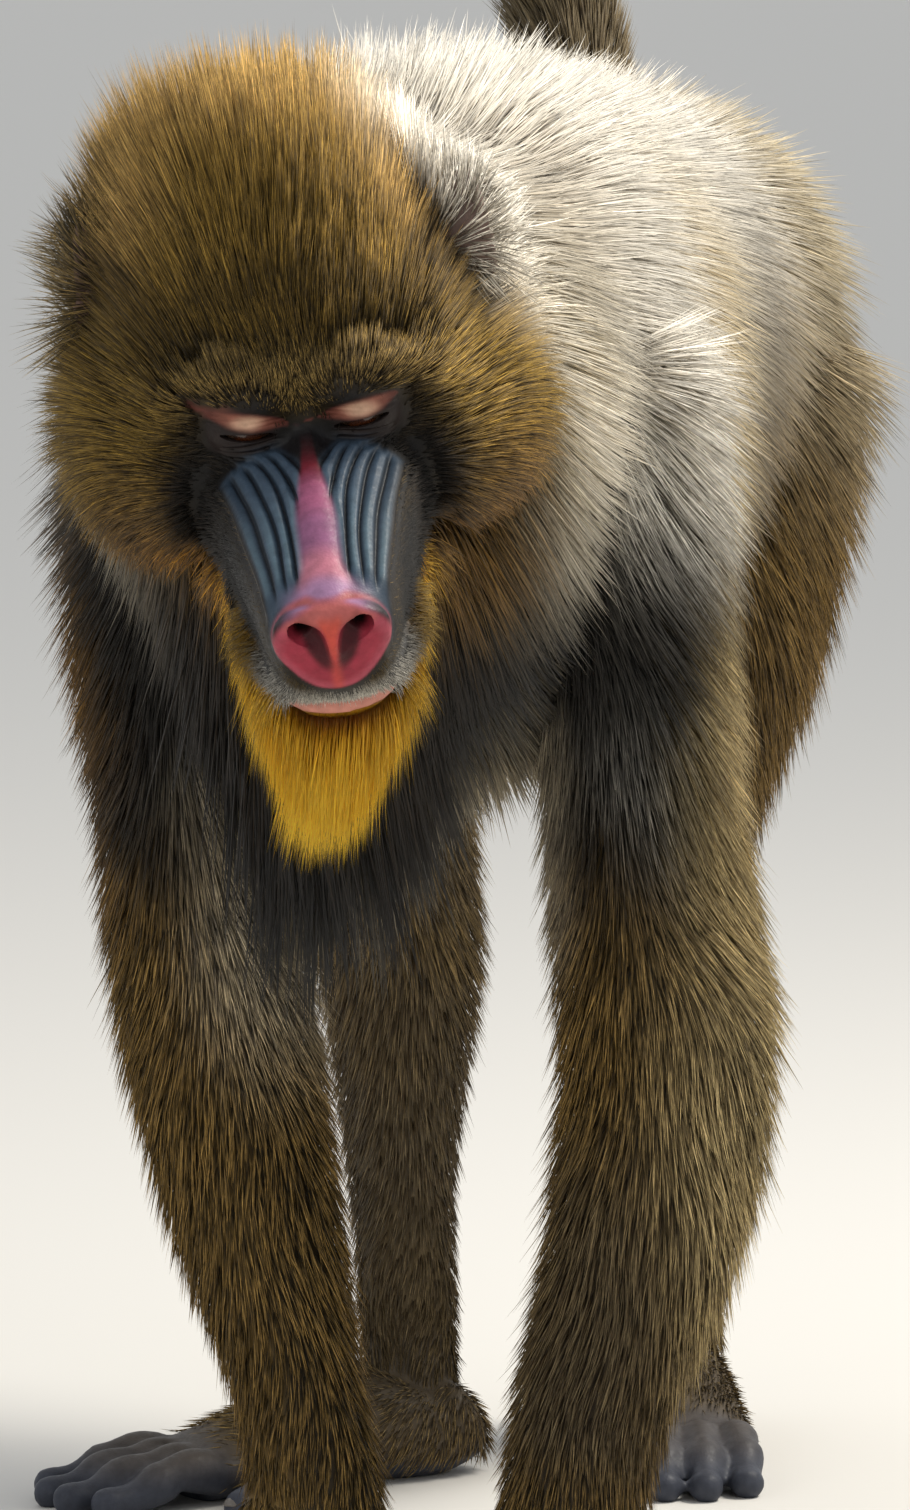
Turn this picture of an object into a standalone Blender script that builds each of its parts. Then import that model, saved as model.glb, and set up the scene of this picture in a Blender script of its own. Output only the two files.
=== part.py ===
"""Life-size still model of an adult male mandrill, standing on all fours with its head lowered.

The animal faces -Y with its left side at +X and the floor at z = 0. Tables of stations are written in
centimetres, and every table gives the outline out to the tips of the coat together with the depth of the
coat there. The body is modelled whole from lofted tubes that a voxel remesh fuses, long hair is added as
flat tapered locks, and the whole is then parted into its named pieces with thin cuts.
"""

import math
import random

import bmesh
import bpy
from mathutils import Matrix, Vector
from mathutils.bvhtree import BVHTree

CM = 0.01
MM = 0.001

# Driving sizes of the animal, in metres
PART_GAP = 0.3 * MM
EYE_RADIUS = 11.5 * MM
EYE_CLEARANCE = 0.45 * MM
CORE_SHARE = 0.5
BODY_VOXEL = 8.0 * MM
HEAD_VOXEL = 3.2 * MM
PAW_VOXEL = 3.2 * MM
BODY_FACES = 2000
HEAD_FACES = 1750
HAND_FACES = 340
FOOT_FACES = 380
BODY_SIDES = 20
BODY_STEPS = 4
BAR_SIDES = 6
BAR_STEPS = 1
CAP_ANGLES = (math.radians(70), math.radians(35))
SEED = 7

# The head's own axes: left, forward along the bridge of the nose, and up from it
HEAD_ORIGIN = Vector((0.7, -44.0, 50.6)) * CM
HEAD_LEFT = Vector((0.976, 0.170, 0.138)).normalized()
HEAD_FORWARD = Vector((0.218, -0.836, -0.509)).normalized()
HEAD_UP = HEAD_FORWARD.cross(HEAD_LEFT).normalized()
HEAD_AXES = Matrix((HEAD_LEFT, HEAD_FORWARD, HEAD_UP)).transposed()

# Torso, neck and legs: centre x, y, z, half width, half depth and coat depth
TORSO = {
    "breast": (0.0, -29.5, 45.5, 7.6, 8.6, 3.0),
    "shoulders": (0.0, -24.0, 47.0, 10.2, 13.0, 3.2),
    "withers": (0.0, -16.0, 47.6, 11.4, 14.8, 3.5),
    "ribs": (0.0, -6.0, 48.4, 11.7, 14.3, 3.5),
    "belly": (0.0, 6.0, 49.0, 11.4, 12.7, 3.4),
    "loin": (0.0, 16.0, 49.7, 11.5, 11.2, 3.2),
    "hips": (0.0, 25.0, 49.6, 12.4, 10.6, 3.0),
    "rump": (0.0, 31.5, 49.6, 9.6, 8.2, 2.2),
    "seat": (0.0, 34.2, 49.0, 6.4, 5.4, 0.8),
}
NECK = {
    "nape": (-1.2, -37.5, 53.0, 7.4, 7.6, 2.0),
    "mane": (-0.9, -33.0, 52.2, 9.3, 9.6, 3.4),
    "cape": (-0.3, -27.0, 49.6, 10.4, 11.6, 3.6),
    "root": (0.0, -20.0, 48.0, 9.5, 11.5, 3.2),
}
FORELEG = {
    "right": {
        "shoulder": (-8.0, -19.5, 50.0, 4.6, 6.6, 2.4),
        "upper arm": (-8.6, -20.5, 42.0, 4.5, 6.0, 2.2),
        "above elbow": (-8.2, -20.0, 35.0, 3.9, 5.2, 1.9),
        "elbow": (-7.8, -19.6, 30.0, 4.0, 4.7, 1.8),
        "below elbow": (-6.6, -21.6, 25.0, 4.1, 4.3, 1.6),
        "forearm": (-4.8, -24.0, 18.5, 3.6, 3.6, 1.3),
        "above wrist": (-2.9, -25.6, 12.0, 2.75, 2.9, 1.0),
        "wrist": (-2.0, -26.3, 7.8, 2.75, 2.4, 0.6),
        "palm": (-1.9, -27.4, 5.6, 2.6, 1.9, 0.3),
    },
    "left": {
        "shoulder": (8.0, -19.5, 50.0, 4.6, 6.6, 2.4),
        "upper arm": (8.9, -20.3, 42.0, 4.7, 6.0, 2.2),
        "above elbow": (9.6, -20.0, 35.0, 4.2, 5.2, 1.9),
        "elbow": (10.2, -19.8, 30.0, 4.3, 4.8, 1.8),
        "below elbow": (11.0, -21.6, 24.5, 4.5, 4.6, 1.8),
        "forearm": (10.5, -24.0, 18.0, 4.1, 4.0, 1.7),
        "above wrist": (8.9, -25.6, 12.0, 3.3, 3.1, 1.2),
        "wrist": (8.1, -26.3, 7.8, 3.0, 2.4, 0.7),
        "palm": (8.0, -27.4, 5.6, 2.7, 1.9, 0.3),
    },
}
HINDLEG = {
    "right": {
        "hip": (-6.2, 23.0, 47.0, 6.6, 8.6, 2.4),
        "thigh": (-7.2, 18.5, 38.5, 5.2, 7.2, 2.0),
        "knee": (-6.0, 13.0, 29.5, 4.3, 5.0, 1.5),
        "below knee": (-5.4, 14.6, 22.5, 3.7, 4.1, 1.2),
        "shank": (-5.9, 18.2, 14.0, 2.55, 3.0, 0.9),
        "ankle": (-6.0, 20.4, 7.0, 2.2, 2.5, 0.5),
        "heel": (-6.0, 20.6, 3.6, 2.1, 2.4, 0.2),
    },
    "left": {
        "hip": (6.6, 23.0, 47.0, 7.2, 8.6, 2.6),
        "thigh": (7.6, 21.5, 38.5, 5.2, 7.2, 2.1),
        "knee": (5.9, 18.0, 29.5, 3.9, 5.0, 1.5),
        "below knee": (5.2, 21.8, 22.5, 3.4, 4.1, 1.2),
        "shank": (4.6, 27.4, 14.5, 2.55, 3.0, 0.9),
        "ankle": (4.1, 31.6, 7.4, 2.2, 2.5, 0.5),
        "heel": (4.0, 32.4, 3.8, 2.1, 2.4, 0.2),
    },
}
TAIL = {
    "root": (0.0, 30.5, 54.0, 2.8, 2.8, 1.0),
    "base": (-0.3, 33.5, 57.5, 2.4, 2.4, 1.1),
    "bend": (-1.1, 35.0, 60.6, 2.8, 2.5, 1.6),
    "tip": (-2.2, 35.2, 63.6, 2.6, 2.2, 1.8),
}
# The underside of the belly, whose short hair has no locks
BELLY = {
    "chest": (0.0, -20.0, 43.0, 7.4, 8.6, 0.0),
    "ribs": (0.0, -6.0, 43.6, 7.6, 9.4, 0.0),
    "belly": (0.0, 6.0, 44.4, 7.4, 8.0, 0.0),
    "groin": (0.0, 18.0, 46.0, 7.4, 7.4, 0.0),
}
# Pads of bare skin under the tail: centre and half sizes
SEAT_PADS = {"left": (3.1, 34.2, 46.4), "right": (-3.1, 34.2, 46.4)}
SEAT_PAD_SIZE = (2.5, 1.7, 2.9)

# The head, in its own axes: left, forward, up, half width, half height and coat depth
CRANIUM = {
    "occiput": (0.0, -10.6, -0.6, 3.9, 3.9, 1.6),
    "back": (0.0, -9.0, -0.4, 6.2, 5.9, 2.4),
    "crown": (0.0, -6.5, -0.2, 7.0, 6.0, 2.6),
    "forehead": (0.0, -4.0, -0.5, 6.6, 5.3, 2.0),
    "brow": (0.0, -2.3, -1.2, 5.4, 3.6, 0.9),
    "eyes": (0.0, -1.5, -1.8, 4.3, 2.6, 0.2),
}
CHEEK = {
    "front": (3.5, -1.4, -3.6, 2.0, 2.4, 0.6),
    "middle": (4.8, -4.0, -3.6, 3.6, 4.4, 2.4),
    "back": (5.3, -7.0, -3.3, 4.5, 5.4, 3.8),
    "end": (4.9, -9.8, -3.0, 4.2, 5.2, 3.8),
}
MUZZLE = {
    "root": (0.0, -1.6, -4.1, 4.3, 3.0, 0.0),
    "under eyes": (0.0, 0.8, -3.6, 3.8, 3.0, 0.0),
    "middle": (0.0, 3.6, -3.3, 3.35, 2.95, 0.0),
    "front": (0.0, 6.6, -3.0, 2.85, 2.75, 0.0),
    "nose": (0.0, 9.0, -2.7, 2.5, 2.5, 0.0),
    "lip": (0.0, 10.2, -2.6, 2.15, 2.1, 0.0),
}
JAW = {
    "hinge": (0.0, -4.5, -6.2, 3.9, 2.6, 0.8),
    "throat": (0.0, -1.0, -6.9, 3.6, 1.9, 0.5),
    "middle": (0.0, 3.0, -6.7, 2.9, 1.5, 0.2),
    "front": (0.0, 6.6, -6.3, 2.3, 1.25, 0.0),
    "chin": (0.0, 9.0, -5.85, 1.65, 0.85, 0.0),
}
GULLET = {
    "chin": (0.0, -1.5, -7.0, 3.4, 2.4, 0.8),
    "throat": (0.0, -6.0, -6.8, 5.0, 4.4, 1.8),
    "nape": (0.0, -10.5, -4.0, 6.2, 6.4, 2.4),
}
# Bars half sunk in the head: points with a radius, from the middle out where they cross it
BROW_BAR = [(0.0, -0.75, 0.4, 0.6), (1.2, -0.55, 0.95, 0.8), (2.6, -0.7, 1.1, 0.85), (4.0, -1.8, 0.3, 0.8)]
CHEEKBONE = [(3.9, -1.9, -1.0, 0.9), (4.9, -3.6, -1.5, 0.9), (5.3, -5.6, -1.8, 0.7)]
NOSE_BRIDGE = [
    (0.0, -1.0, -0.25, 0.6), (0.0, 0.6, -0.5, 0.5), (0.0, 3.0, -0.35, 0.6), (0.0, 6.0, -0.3, 0.75),
    (0.0, 9.2, -0.55, 0.85), (0.0, 10.5, -0.85, 0.7),
]
SEPTUM = [(0.0, 10.9, -0.85, 0.42), (0.0, 11.3, -1.6, 0.3), (0.0, 11.1, -2.6, 0.26), (0.0, 10.7, -3.5, 0.3)]
NOSE_RIM = [
    (0.0, 10.75, -0.85, 0.45), (1.15, 10.7, -1.0, 0.45), (1.75, 10.45, -1.7, 0.46), (1.5, 10.4, -2.7, 0.46),
    (0.65, 10.5, -3.45, 0.42),
]
UPPER_LIP = [
    (0.0, 10.45, -4.35, 0.42), (1.3, 10.0, -4.45, 0.42), (2.1, 8.8, -4.8, 0.4), (2.65, 6.2, -5.2, 0.35),
    (2.95, 3.4, -5.45, 0.25),
]
LOWER_LIP = [
    (0.0, 9.95, -5.35, 0.42), (1.1, 9.55, -5.45, 0.42), (1.9, 8.2, -5.75, 0.4), (2.4, 5.8, -6.0, 0.3),
    (2.8, 3.2, -6.1, 0.25),
]
MOUTH_LINE = [
    (0.0, 10.95, -4.88, 0.3), (1.35, 10.35, -4.95, 0.3), (2.45, 8.6, -5.25, 0.3), (3.1, 6.0, -5.62, 0.3),
    (3.35, 3.6, -5.85, 0.25),
]
MOUTH_FLATNESS = 0.35
# Wings of the nose: centre and half sizes
NOSE_WINGS = ((0.95, 10.25, -2.1), (1.1, 0.8, 1.45))
NOSTRIL = [
    (0.62, 11.6, -1.95, 0.36), (0.72, 11.2, -1.45, 0.42), (1.12, 10.9, -1.15, 0.42), (1.2, 10.2, -1.1, 0.3),
]
EYE_PLACE = Vector((2.1, -1.0, -0.3)) * CM
LID_THICKNESS = 2.4 * MM
LID_WIDENING = 1.12
# The slit between the lids: its tilt and turn, how far out of the eye's middle it lies and its half sizes
EYE_SLIT_TILT = math.radians(7)
EYE_SLIT_TURN = 0.1
EYE_SLIT_REACH = 1.15
SLIT_SIZE = (1.05, 0.75, 0.17)
# The ridges beside the bridge start spread out under the eye, bend down and close up towards the nose.
# Pairs give the innermost and the outermost ridge
RIDGES = 5
RIDGE_RADIUS = 0.34
RIDGE_SINK = 0.25
RIDGE_SIDES = 5
RIDGE_STEPS = 4
RIDGE_TOP = (1.35, 3.25)
RIDGE_LOW = (0.95, 2.05)
RIDGE_BEND = (4.2, 1.25)
RIDGE_SPAN = (0.9, 9.4)
# The ears: centre in the head's axes, and how far out from its middle they part from it
EAR_PLACE = (6.3, -8.3, 1.8)
EAR_ROOT = 6.2
EAR_SIDES = 10
EAR_CAP = 0.3
# The ear's shell and its cup from the root out: place beside the ear's centre, half width and half height
EAR_SHELL = [(-1.3, 0.0, -0.1, 1.2, 1.4), (0.2, -0.1, 0.0, 1.55, 2.0), (1.2, -0.3, 0.1, 1.75, 2.3)]
EAR_CUP = [(0.6, 0.0, 0.0, 0.5, 0.8), (1.3, -0.1, 0.1, 1.25, 1.8), (3.0, -0.1, 0.2, 2.0, 2.6)]
# Share of the coat's depth that the flesh of head and legs takes in
HEAD_SHARE = 0.5
LEG_SHARE = 1.0
SQUARE_TRUNK = 2.3
SQUARE_NECK = 2.2
SQUARE_MUZZLE = 2.35
COLOURS = {
    "head": ((0.10, 0.085, 0.05), 0.8),
    "neck": ((0.12, 0.10, 0.06), 0.85),
    "torso": ((0.24, 0.20, 0.14), 0.85),
    "tail": ((0.16, 0.12, 0.07), 0.85), "upper_arm": ((0.12, 0.10, 0.06), 0.85),
    "forearm": ((0.10, 0.08, 0.05), 0.85), "hand": ((0.10, 0.11, 0.14), 0.6),
    "thigh": ((0.13, 0.10, 0.06), 0.85),
    "shank": ((0.12, 0.10, 0.07), 0.85),
    "foot": ((0.10, 0.11, 0.14), 0.6),
    "eye": ((0.03, 0.015, 0.01), 0.1), "ear": ((0.30, 0.22, 0.20), 0.6),
}
# Locks of long hair. Rows are places along the stations; the lists give the roots' places and the lengths
HEAD_LOCK_RINGS = ((0.0, 0.6), (0.4, 1.0), (0.76, 0.66))
BODY_LOCK_RINGS = ((0.0, 0.8), (0.6, 0.86))
LOCK_ROOT = 0.12
LOCK_SINK = 0.8 * CM
# How far a lock's underside hangs below its edges, as a share of its thickness
LOCK_KEEL = 0.45
# Half width and thickness of the locks of each kind
LOCK_SIZES = {
    "crest": (1.9, 0.5), "ruff": (2.2, 0.55), "beard": (1.5, 0.4), "chest": (1.3, 0.45), "torso": (2.9, 0.65),
    "neck": (2.6, 0.65), "tail": (1.3, 0.45), "arm": (1.7, 0.5), "thigh": (2.0, 0.5),
}
# How far a lock of each kind runs, in stations
LOCK_RUNS = {"ruff": 1.6, "torso": 1.8, "neck": 1.5, "tail": 1.3, "arm": 1.3, "thigh": 1.1}
TORSO_ROWS = (0.9, 2.0, 3.1, 4.2, 5.2, 6.1)
TORSO_ANGLES = (-228, 48)
NECK_ROWS = (0.7, 1.6)
NECK_ANGLES = (-215, 35)
TAIL_ROWS = (1.1, 1.8)
CREST_ROWS = ((-2.9, (-48, -16, 16, 48), 4.0), (-5.2, (-72, -43, -14, 14, 43, 72), 6.0),
              (-7.4, (-60, -30, 0, 30, 60), 6.6), (-9.8, (-45, 0, 45), 5.5))
RUFF_ROWS = (0.45, 1.2, 2.0)
RUFF_ANGLES = (-52, 122)
BEARD_ROWS = ((7.6, (-1.1, 1.1), 4.6), (5.4, (-2.6, 0.0, 2.6), 5.6), (2.6, (-2.6, 0.0, 2.6), 5.4))
CHEST_TUFT = ((0.0, -31.0, 41.0, 7.5), (-2.6, -29.5, 41.0, 8.5), (2.6, -29.5, 41.0, 6.5),
              (-1.0, -26.5, 40.0, 8.5))
ARM_ROWS = (2.0, 3.1)
ARM_ANGLES = (-160, -20)
THIGH_ROWS = (0.6, 1.3)
THIGH_ANGLES = (-170, -10)
# The locks of limbs and tail stand out by this share of the coat's depth there
FRINGE_RISE = 1.35
# Fingers and toes: how far each stands from the middle one, in digit widths
DIGITS = (-1.5, -0.5, 0.5, 1.5)
DIGIT_RADIUS = 0.84
DIGIT_SPACING = 1.5
# Reach of the middle fingers from the wrist and of the middle toes from the heel, and the loss to each next
FINGER_REACH = (12.6, 0.75)
TOE_REACH = (17.6, 0.9)
# Hand, ahead of the wrist: palm as stations; finger and thumb by share of spread, reach, height and radius
PALM = [(0.2, 7.2, 2.7, 1.9), (2.2, 4.8, 2.95, 1.6), (4.6, 2.5, 3.0, 1.25)]
FINGER = [(0.9, 4.4, 2.5, 1.0), (1.1, 6.6, 2.0, 0.84), (1.22, 9.0, 0.95, 0.84)]
THUMB = [(1.9, 1.8, 4.9, 1.0), (3.2, 3.6, 2.6, 0.8), (3.6, 5.4, 0.9, 0.75), (3.7, 6.6, 0.62, 0.6)]
# Foot, ahead of the heel, in the same way
SOLE = [(-2.1, 2.5, 1.75, 1.9), (-0.4, 1.9, 2.0, 1.9), (3.0, 2.5, 2.35, 2.4), (7.0, 2.0, 2.8, 1.9),
        (11.0, 1.3, 3.1, 1.35)]
TOE = [(0.95, 10.6, 1.4, 0.95), (1.1, 13.0, 1.35, 0.84)]
GREAT_TOE = [(1.6, 5.2, 1.9, 1.3), (3.3, 7.4, 1.15, 1.05), (4.7, 9.6, 0.85, 0.95), (5.4, 11.4, 0.65, 0.72)]
# Feet: middle of the heel on the floor and how far the toes turn out
FOOT = {"right": ((-5.4, 18.6), -52.0), "left": ((4.0, 31.0), 10.0)}
SMOOTHING = {"body": 4, "head": 3, "paw": 2}
EDGE_ANGLE = math.radians(50)
FLOOR_SINK = 0.14
CUT_TOLERANCE = 0.001 * MM

# Planes that part the body: a point in centimetres and the direction that faces the part
HEAD_PLANE = ((-0.9, -31.6, 51.5), (-0.07, -0.95, 0.30))
NECK_PLANE = ((0.0, -23.5, 50.0), (0.0, -0.95, 0.30))
NECK_FLOOR = 45.0
TAIL_PLANE = ((0.0, 33.2, 57.4), (-0.05, 0.42, 0.90))
TAIL_FRONT = 30.5
SHOULDER_HEIGHT = 40.5
ELBOW_HEIGHT = 29.5
WRIST_HEIGHT = 8.2
THIGH_HEIGHT = 40.0
KNEE_HEIGHT = 28.5
ANKLE_HEIGHT = 7.6
FORELEG_INSIDE = 4.4
HANDS_APART = 3.05
THIGH_INSIDE = 1.0
FORELEG_SPAN_Y = (-60.0, -13.5)
THIGH_FRONT = 10.0
HINDLEG_FRONT = 2.0
FAR = 90.0


def clear_scene():
    for obj in list(bpy.data.objects):
        bpy.data.objects.remove(obj, do_unlink=True)


def head_point(left, forward, up):
    """A place given in the head's axes and centimetres, in the world and metres."""
    return HEAD_ORIGIN + HEAD_AXES @ (Vector((left, forward, up)) * CM)


def add_mesh(name, verts, faces):
    mesh = bpy.data.meshes.new(name)
    mesh.from_pydata([tuple(v) for v in verts], [], faces)
    mesh.update()
    obj = bpy.data.objects.new(name, mesh)
    bpy.context.scene.collection.objects.link(obj)
    return obj


def smooth_track(rows, steps):
    """Rows of numbers with Catmull-Rom steps put in between them."""
    padded = [rows[0]] + list(rows) + [rows[-1]]
    track = []
    for i in range(1, len(padded) - 2):
        before, start, end, after = padded[i - 1 : i + 3]
        for step in range(steps):
            t = step / steps
            track.append(
                tuple(
                    0.5 * (2 * b + (c - a) * t + (2 * a - 5 * b + 4 * c - d) * t * t
                           + (3 * b - a - 3 * c + d) * t ** 3)
                    for a, b, c, d in zip(before, start, end, after)
                )
            )
    track.append(tuple(rows[-1]))
    return track


def tube_rows(stations, share, place, mirror):
    """Centre, half width and half depth of each station in metres, with a share of the coat's depth."""
    rows = []
    for x, y, z, half_width, half_depth, coat in stations:
        cut = coat * (1.0 - share)
        centre = place(x * mirror, y, z) if place else Vector((x * mirror, y, z)) * CM
        rows.append((*centre, (half_width - cut) * CM, (half_depth - cut) * CM))
    return rows


def tube_axes(track, i, side):
    """The way along a track at one of its rows, and the two ways across it."""
    last = len(track) - 1
    along = (Vector(track[min(i + 1, last)][:3]) - Vector(track[max(i - 1, 0)][:3])).normalized()
    across = (side - along * side.dot(along)).normalized()
    return along, across, along.cross(across)


def ring_offset(angle, across, deep, half_width, half_depth, power):
    """From a tube's middle to its wall at an angle, where a higher power squares the outline."""
    c, s = math.cos(angle), math.sin(angle)
    wide = math.copysign(abs(c) ** (2 / power), c) * half_width
    high = math.copysign(abs(s) ** (2 / power), s) * half_depth
    return across * wide + deep * high


def tube_spot(stations, along, angle, share, side=Vector((1, 0, 0)), power=2.0, place=None, mirror=1.0):
    """A spot in a tube's coat: how far along in stations, the angle round it and the share of its depth."""
    track = smooth_track(tube_rows(stations, share, place, mirror), BODY_STEPS)
    spot = max(0.0, min(along * BODY_STEPS, len(track) - 1.001))
    i = int(spot)
    row = [a + (b - a) * (spot - i) for a, b in zip(track[i], track[i + 1])]
    _, across, deep = tube_axes(track, i, side)
    return Vector(row[:3]) + ring_offset(angle, across, deep, row[3], row[4], power)


def loft(name, stations, side=Vector((1, 0, 0)), power=2.0, share=1.0, place=None, mirror=1.0,
         cap=0.45, sides=BODY_SIDES, steps=BODY_STEPS, cap_angles=CAP_ANGLES):
    """A closed tube with rounded ends through stations, whose coat is kept to a share of its depth."""
    track = smooth_track(tube_rows(stations, share, place, mirror), steps)
    verts, rings = [], []

    def add_ring(i, shift=0.0, size=1.0):
        along, across, deep = tube_axes(track, i, side)
        middle = Vector(track[i][:3]) + along * shift
        first = len(verts)
        for k in range(sides):
            verts.append(middle + ring_offset(2 * math.pi * k / sides, across, deep, track[i][3] * size,
                                              track[i][4] * size, power))
        rings.append(list(range(first, first + sides)))

    last = len(track) - 1
    for i, row in enumerate(track):
        reach = min(row[3], row[4]) * cap
        if i == 0:
            for angle in cap_angles:
                add_ring(0, -reach * math.sin(angle), math.cos(angle))
        add_ring(i)
        if i == last:
            for angle in reversed(cap_angles):
                add_ring(last, reach * math.sin(angle), math.cos(angle))
    faces = [tuple(reversed(rings[0])), tuple(rings[-1])]
    for lower, upper in zip(rings, rings[1:]):
        for k in range(sides):
            n = (k + 1) % sides
            faces.append((lower[k], lower[n], upper[n], upper[k]))
    return add_mesh(name, verts, faces)


def bar(name, points, place=head_point, mirror=1.0, flat=1.0, side=Vector((1, 0, 0)), sides=BAR_SIDES):
    """A round tube through points given with their radius."""
    stations = [(x, y, z, r, r * flat, 0.0) for x, y, z, r in points]
    return loft(name, stations, side=side, place=place, mirror=mirror, cap=0.9, sides=sides, steps=BAR_STEPS,
                cap_angles=(math.radians(45),))


def ball(name, centre, half_sizes, place=head_point, axes=HEAD_AXES, segments=16, rings=10):
    bpy.ops.mesh.primitive_uv_sphere_add(segments=segments, ring_count=rings, radius=1.0)
    obj = bpy.context.object
    obj.name = name
    shape = axes.to_4x4() @ Matrix.Diagonal((*(Vector(half_sizes) * CM), 1.0))
    obj.data.transform(Matrix.Translation(place(*centre)) @ shape)
    if axes.determinant() < 0:
        obj.data.flip_normals()
    return obj


def settle(obj):
    """Puts the mesh that the modifiers make in the place of the object's own."""
    graph = bpy.context.evaluated_depsgraph_get()
    mesh = bpy.data.meshes.new_from_object(obj.evaluated_get(graph))
    obj.modifiers.clear()
    old, obj.data = obj.data, mesh
    bpy.data.meshes.remove(old)
    return obj


def joined(objects, name):
    bpy.ops.object.select_all(action="DESELECT")
    for obj in objects:
        obj.select_set(True)
    bpy.context.view_layer.objects.active = objects[0]
    if len(objects) > 1:
        bpy.ops.object.join()
    objects[0].name = name
    return objects[0]


def fuse(objects, name, voxel, rounds, faces):
    """One skin round overlapping closed pieces, smoothed and thinned to about a number of triangles."""
    obj = joined(objects, name)
    remesh = obj.modifiers.new("skin", "REMESH")
    remesh.mode = "VOXEL"
    remesh.voxel_size = voxel
    smooth = obj.modifiers.new("smooth", "SMOOTH")
    smooth.factor = 0.5
    smooth.iterations = rounds
    settle(obj)
    triangles = sum(len(p.vertices) - 2 for p in obj.data.polygons)
    thin = obj.modifiers.new("thin", "DECIMATE")
    thin.ratio = min(1.0, faces / triangles)
    thin.use_collapse_triangulate = True
    return settle(obj)


def cut_body(obj, planes, name):
    """A copy of a closed mesh that keeps only what faces each plane, with the cuts filled."""
    mesh = obj.data.copy()
    bm = bmesh.new()
    bm.from_mesh(mesh)
    for point, facing in planes:
        found = bmesh.ops.bisect_plane(bm, geom=bm.verts[:] + bm.edges[:] + bm.faces[:], dist=CUT_TOLERANCE,
                                       plane_co=point, plane_no=facing, clear_inner=True)
        rim = [g for g in found["geom_cut"] if isinstance(g, bmesh.types.BMEdge)]
        if rim:
            bmesh.ops.holes_fill(bm, edges=rim)
    bmesh.ops.triangulate(bm, faces=[f for f in bm.faces if len(f.verts) > 4])
    bm.to_mesh(mesh)
    bm.free()
    piece = bpy.data.objects.new(name, mesh)
    bpy.context.scene.collection.objects.link(piece)
    return piece


def boolean(obj, others, operation):
    """Applies one Boolean with all of the other closed meshes, which are then removed."""
    group = bpy.data.collections.new("operands")
    bpy.context.scene.collection.children.link(group)
    for other in others:
        for home in list(other.users_collection):
            home.objects.unlink(other)
        group.objects.link(other)
    step = obj.modifiers.new(operation.lower(), "BOOLEAN")
    step.operation = operation
    step.solver = "MANIFOLD"
    step.operand_type = "COLLECTION"
    step.collection = group
    bpy.context.view_layer.update()
    settle(obj)
    for other in others:
        bpy.data.objects.remove(other, do_unlink=True)
    bpy.data.collections.remove(group)
    return obj


def keep_largest(obj):
    """Drops every closed surface but the one that holds the most."""
    bm = bmesh.new()
    bm.from_mesh(obj.data)
    seen, shells = set(), []
    for start in bm.verts:
        if start.index in seen:
            continue
        seen.add(start.index)
        stack, shell = [start], []
        while stack:
            vert = stack.pop()
            shell.append(vert)
            for edge in vert.link_edges:
                other = edge.other_vert(vert)
                if other.index not in seen:
                    seen.add(other.index)
                    stack.append(other)
        shells.append(shell)

    def volume(shell):
        total = 0.0
        for face in {face for vert in shell for face in vert.link_faces}:
            first = face.verts[0].co
            for a, b in zip(face.verts[1:], face.verts[2:]):
                total += first.dot(a.co.cross(b.co)) / 6
        return total

    shells.sort(key=volume)
    loose = [vert for shell in shells[:-1] for vert in shell]
    bmesh.ops.delete(bm, geom=loose, context="VERTS")
    bmesh.ops.triangulate(bm, faces=bm.faces[:])
    bm.to_mesh(obj.data)
    bm.free()
    return obj


def plane(point, facing, gap=PART_GAP / 2):
    """A cutting plane moved by half of the gap into the part that it faces."""
    facing = Vector(facing).normalized()
    return Vector(point) * CM + facing * gap, facing


def away(place):
    """The same plane seen from the part on its other side."""
    point, facing = place
    return plane(point, -Vector(facing))


def box_region(name, planes):
    """A closed block that fills the space which all of the planes face."""
    bpy.ops.mesh.primitive_cube_add(size=2 * FAR * CM)
    block = bpy.context.object
    piece = cut_body(block, planes, name)
    bpy.data.objects.remove(block, do_unlink=True)
    return piece


def body_point(x, y, z):
    return Vector((x, y, z)) * CM


def hand(side):
    """Wrist, raised palm, four fingers laid on the floor and a short thumb on the inner side."""
    stations = FORELEG[side]
    inner = 1.0 if side == "right" else -1.0
    x, y = stations["wrist"][:2]
    name = "hand_" + side
    palm = [(x, y - ahead, height, wide, deep, 0) for ahead, height, wide, deep in PALM]
    arm = [stations[k] for k in ("forearm", "above wrist", "wrist", "palm")]
    pieces = [loft(name, arm), loft(name, palm)]
    for digit in DIGITS:
        shift = digit * DIGIT_SPACING
        reach = FINGER_REACH[0] - FINGER_REACH[1] * abs(digit)
        points = [(x + shift * spread, y - ahead, height, radius) for spread, ahead, height, radius in FINGER]
        points.append((x + shift * 1.26, y - reach + 1.4, 0.7, DIGIT_RADIUS * 0.92))
        points.append((x + shift * 1.28, y - reach, 0.6, DIGIT_RADIUS * 0.72))
        pieces.append(bar(name, points, place=body_point))
    thumb = [(x + inner * beside, y - ahead, height, radius) for beside, ahead, height, radius in THUMB]
    pieces.append(bar(name, thumb, place=body_point))
    return fuse(pieces, name, PAW_VOXEL, SMOOTHING["paw"], HAND_FACES)


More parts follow.
